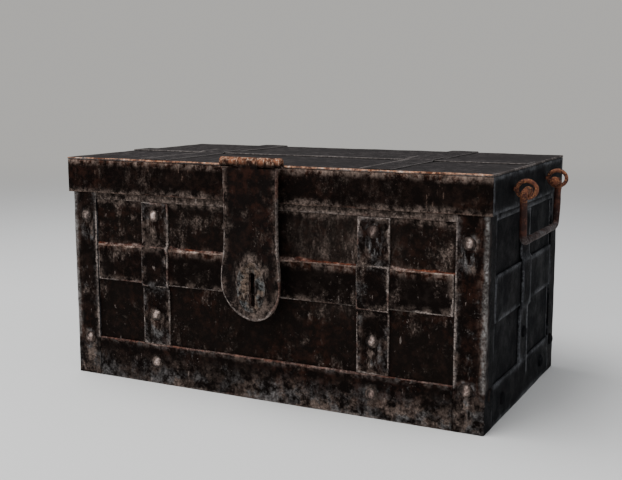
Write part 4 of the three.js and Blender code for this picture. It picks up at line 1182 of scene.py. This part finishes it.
def draw_staple(bm, name, seed):
    low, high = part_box(name)
    x, z = (low.x + high.x) / 2, (low.z + high.z) / 2
    nose = low.y + STAPLE_BAR
    corners = [
        (x, STAPLE_INSIDE, z + STAPLE_HALF),
        (x, nose, z + STAPLE_HALF),
        (x, nose, z - STAPLE_HALF),
        (x, STAPLE_INSIDE, z - STAPLE_HALF),
    ]
    sweep(bm, resample(rounded(corners, (0.009, 0.009)), 0.002), STAPLE_BAR, seed, 14)
    for height in (z + STAPLE_HALF, z - STAPLE_HALF):
        turned(bm, (x, high.y, height), (0, -1, 0), [(0, 0.0043), (0.0008, 0.005), (0.002, 0.0049)], seed)


def draw_rivet(bm, name, seed):
    low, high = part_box(name)
    x, z = (low.x + high.x) / 2, (low.z + high.z) / 2
    length = high.y - low.y
    head = length - RIVET_HEAD["height"]
    profile = [(0, 0.0052), (0.0004, 0.0060), (0.002, 0.0065), (0.0021, 0.004), (head, 0.004)]
    profile += [(head + rise, radius) for rise, radius in dome(**RIVET_HEAD)] + [(length, 0.0006)]
    turned(bm, (x, high.y, z), (0, -1, 0), profile, seed, uneven=0.05)


def draw_pin(bm, name, seed):
    low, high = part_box(name)
    y, z, length = (low.y + high.y) / 2, (low.z + high.z) / 2, high.x - low.x
    radius = (high.z - low.z) / 2
    if name.startswith("hinge"):
        head, edge, shank = HINGE_PIN["head"], HINGE_PIN["edge"], HINGE_PIN["shank"]
        profile = [(0, edge), (0.0008, radius), (head - 0.0003, radius), (head, shank)]
        profile += [(length - along, wide) for along, wide in profile[::-1]]
    else:
        shank = radius * 0.9
        profile = [(0, shank * 0.8), (0.0005, shank), (length - 0.0005, shank), (length, shank * 0.8)]
    turned(bm, (low.x, y, z), (1, 0, 0), profile, seed)


DRAWN = (
    ("handle_eye", draw_eye),
    ("handle_bail", draw_bail),
    ("lock_staple", draw_staple),
    ("rivet_", draw_rivet),
    ("hinge_pin", draw_pin),
    ("hasp_pin", draw_pin),
)
print("pieces drawn again:", sum(name.startswith(tuple(start for start, call in DRAWN)) for name in nodes))

# %% [markdown]
# ## Three special forms
# The skirt's lower edge is eaten away here and there, the boss round the slot is lumpy, and the underside
# of the lid's plate stands clear of the walls, so that its hammer marks don't sink into them when the lid
# is shut.

# %% Three special forms
SKIRT_FOOT = 0.0015
BITE, BITE_GRAIN = 0.0013, 55
UNDERSIDE_LIFT = 0.0007
UNDERSIDE_RIM = 0.0025
UNDERSIDE_DEPTH = 0.0012
BOSS_FACE = 0.0016
RIDGE_AT, RIDGE_WIDTH = 0.52, 0.2
BOSS_SINK, BOSS_LUMP = 0.0017, 0.0011


def ragged(bm, seed):
    foot = min(v.co.z for v in bm.verts)
    for v in bm.verts:
        if v.co.z < foot + SKIRT_FOOT:
            place = Vector((v.co.x * BITE_GRAIN, v.co.y * BITE_GRAIN, seed))
            v.co.z += BITE * max(0, noise.noise(place))


def lift_underside(bm):
    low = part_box("lid_plate")[0]
    for v in bm.verts:
        inside = abs(v.co.x) < abs(low.x) - UNDERSIDE_RIM and abs(v.co.y) < abs(low.y) - UNDERSIDE_RIM
        if inside and v.co.z < low.z + UNDERSIDE_DEPTH:
            v.co.z += UNDERSIDE_LIFT


def shape_boss(bm, seed):
    """A lumpy ridge stands on each side of the slot, and the boss sinks away from it."""
    low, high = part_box("hasp_boss")
    middle = (low + high) / 2
    half = (high - low) / 2
    for v in bm.verts:
        if v.co.y < low.y + BOSS_FACE:
            across = (v.co.x - middle.x) / half.x
            up = (v.co.z - middle.z) / half.z
            ridge = math.exp(-((abs(across) - RIDGE_AT) / RIDGE_WIDTH) ** 2) * (1 - 0.6 * up * up)
            lump = noise.noise(v.co * 130 + Vector((seed, 0, 0))) + 0.5 * noise.noise(v.co * 300)
            v.co.y += BOSS_SINK * (1 - ridge) - BOSS_LUMP * lump


print("underside lifted by", UNDERSIDE_LIFT * 1000, "mm")

# %% [markdown]
# ## Making every piece
# Round pieces are drawn, and flat ones are cut to a grid and hammered. Wear is measured before the points
# move, so that it follows the true edges. Each new piece rides on the body of the solid one that it
# replaces.

# %% Forged pieces
CELLS = (
    ("panel_", 0.012),
    ("floor_tray", 0.012),
    ("lid_plate", 0.012),
    ("hasp_boss", 0.0025),
    ("hasp_", 0.004),
)
USUAL_CELL = 0.006
ROUGHER = {"hasp_boss": 0.0009, "hasp_plate": 0.00055, "hasp_leaf": 0.0002}
DRAWN_MARKS = 0.0001
SHARP_ANGLE = 50


def forge_drawn(bm, name, seed, draw):
    draw(bm, name, seed)
    rest = np.array([v.co for v in bm.verts])
    hammer(bm, seed, DRAWN_MARKS)
    return rest


def forge_flat(bm, name, seed):
    for edge in bm.edges:
        edge.smooth = edge.calc_face_angle(0) < math.radians(SHARP_ANGLE)
    cut_to_grid(bm, next((cell for start, cell in CELLS if name.startswith(start)), USUAL_CELL))
    for axis, height in line_cuts(name):
        cut(bm, axis, height)
    rest = np.array([v.co for v in bm.verts])
    hammer(bm, seed, ROUGHER.get(name, HAMMER))
    if name.startswith("lid_skirt"):
        ragged(bm, seed)
    if name == "lid_plate":
        lift_underside(bm)
    if name == "hasp_boss":
        shape_boss(bm, seed)
    return rest


def forge(name, seed):
    source = nodes[name]
    draw = next((call for start, call in DRAWN if name.startswith(start)), None)
    bm = bmesh.new() if draw else clean(name)
    rest = forge_drawn(bm, name, seed, draw) if draw else forge_flat(bm, name, seed)
    for face in bm.faces:
        face.smooth = True
    mesh = bpy.data.meshes.new("forged " + name)
    bm.to_mesh(mesh)
    bm.free()
    crowns = crowns_of.get(name, shared_crowns.get(source["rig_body"], []))
    write_wear(mesh, rest, arrises_of[name], crowns, [SLOT_RUN] if name.startswith("hasp") else rivet_runs)
    made = bpy.data.objects.new("forged_" + name, mesh)
    scene.collection.objects.link(made)
    mesh.materials.append(finish_of(name))
    if not draw:
        made.modifiers.new("even shading", "WEIGHTED_NORMAL").keep_sharp = True
    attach(made, source["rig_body"])
    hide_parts(name)
    return made


pieces = [forge(name, seed) for seed, name in enumerate(sorted(nodes), start=1)]
print("faces:", sum(len(piece.data.polygons) for piece in pieces))

# %% [markdown]
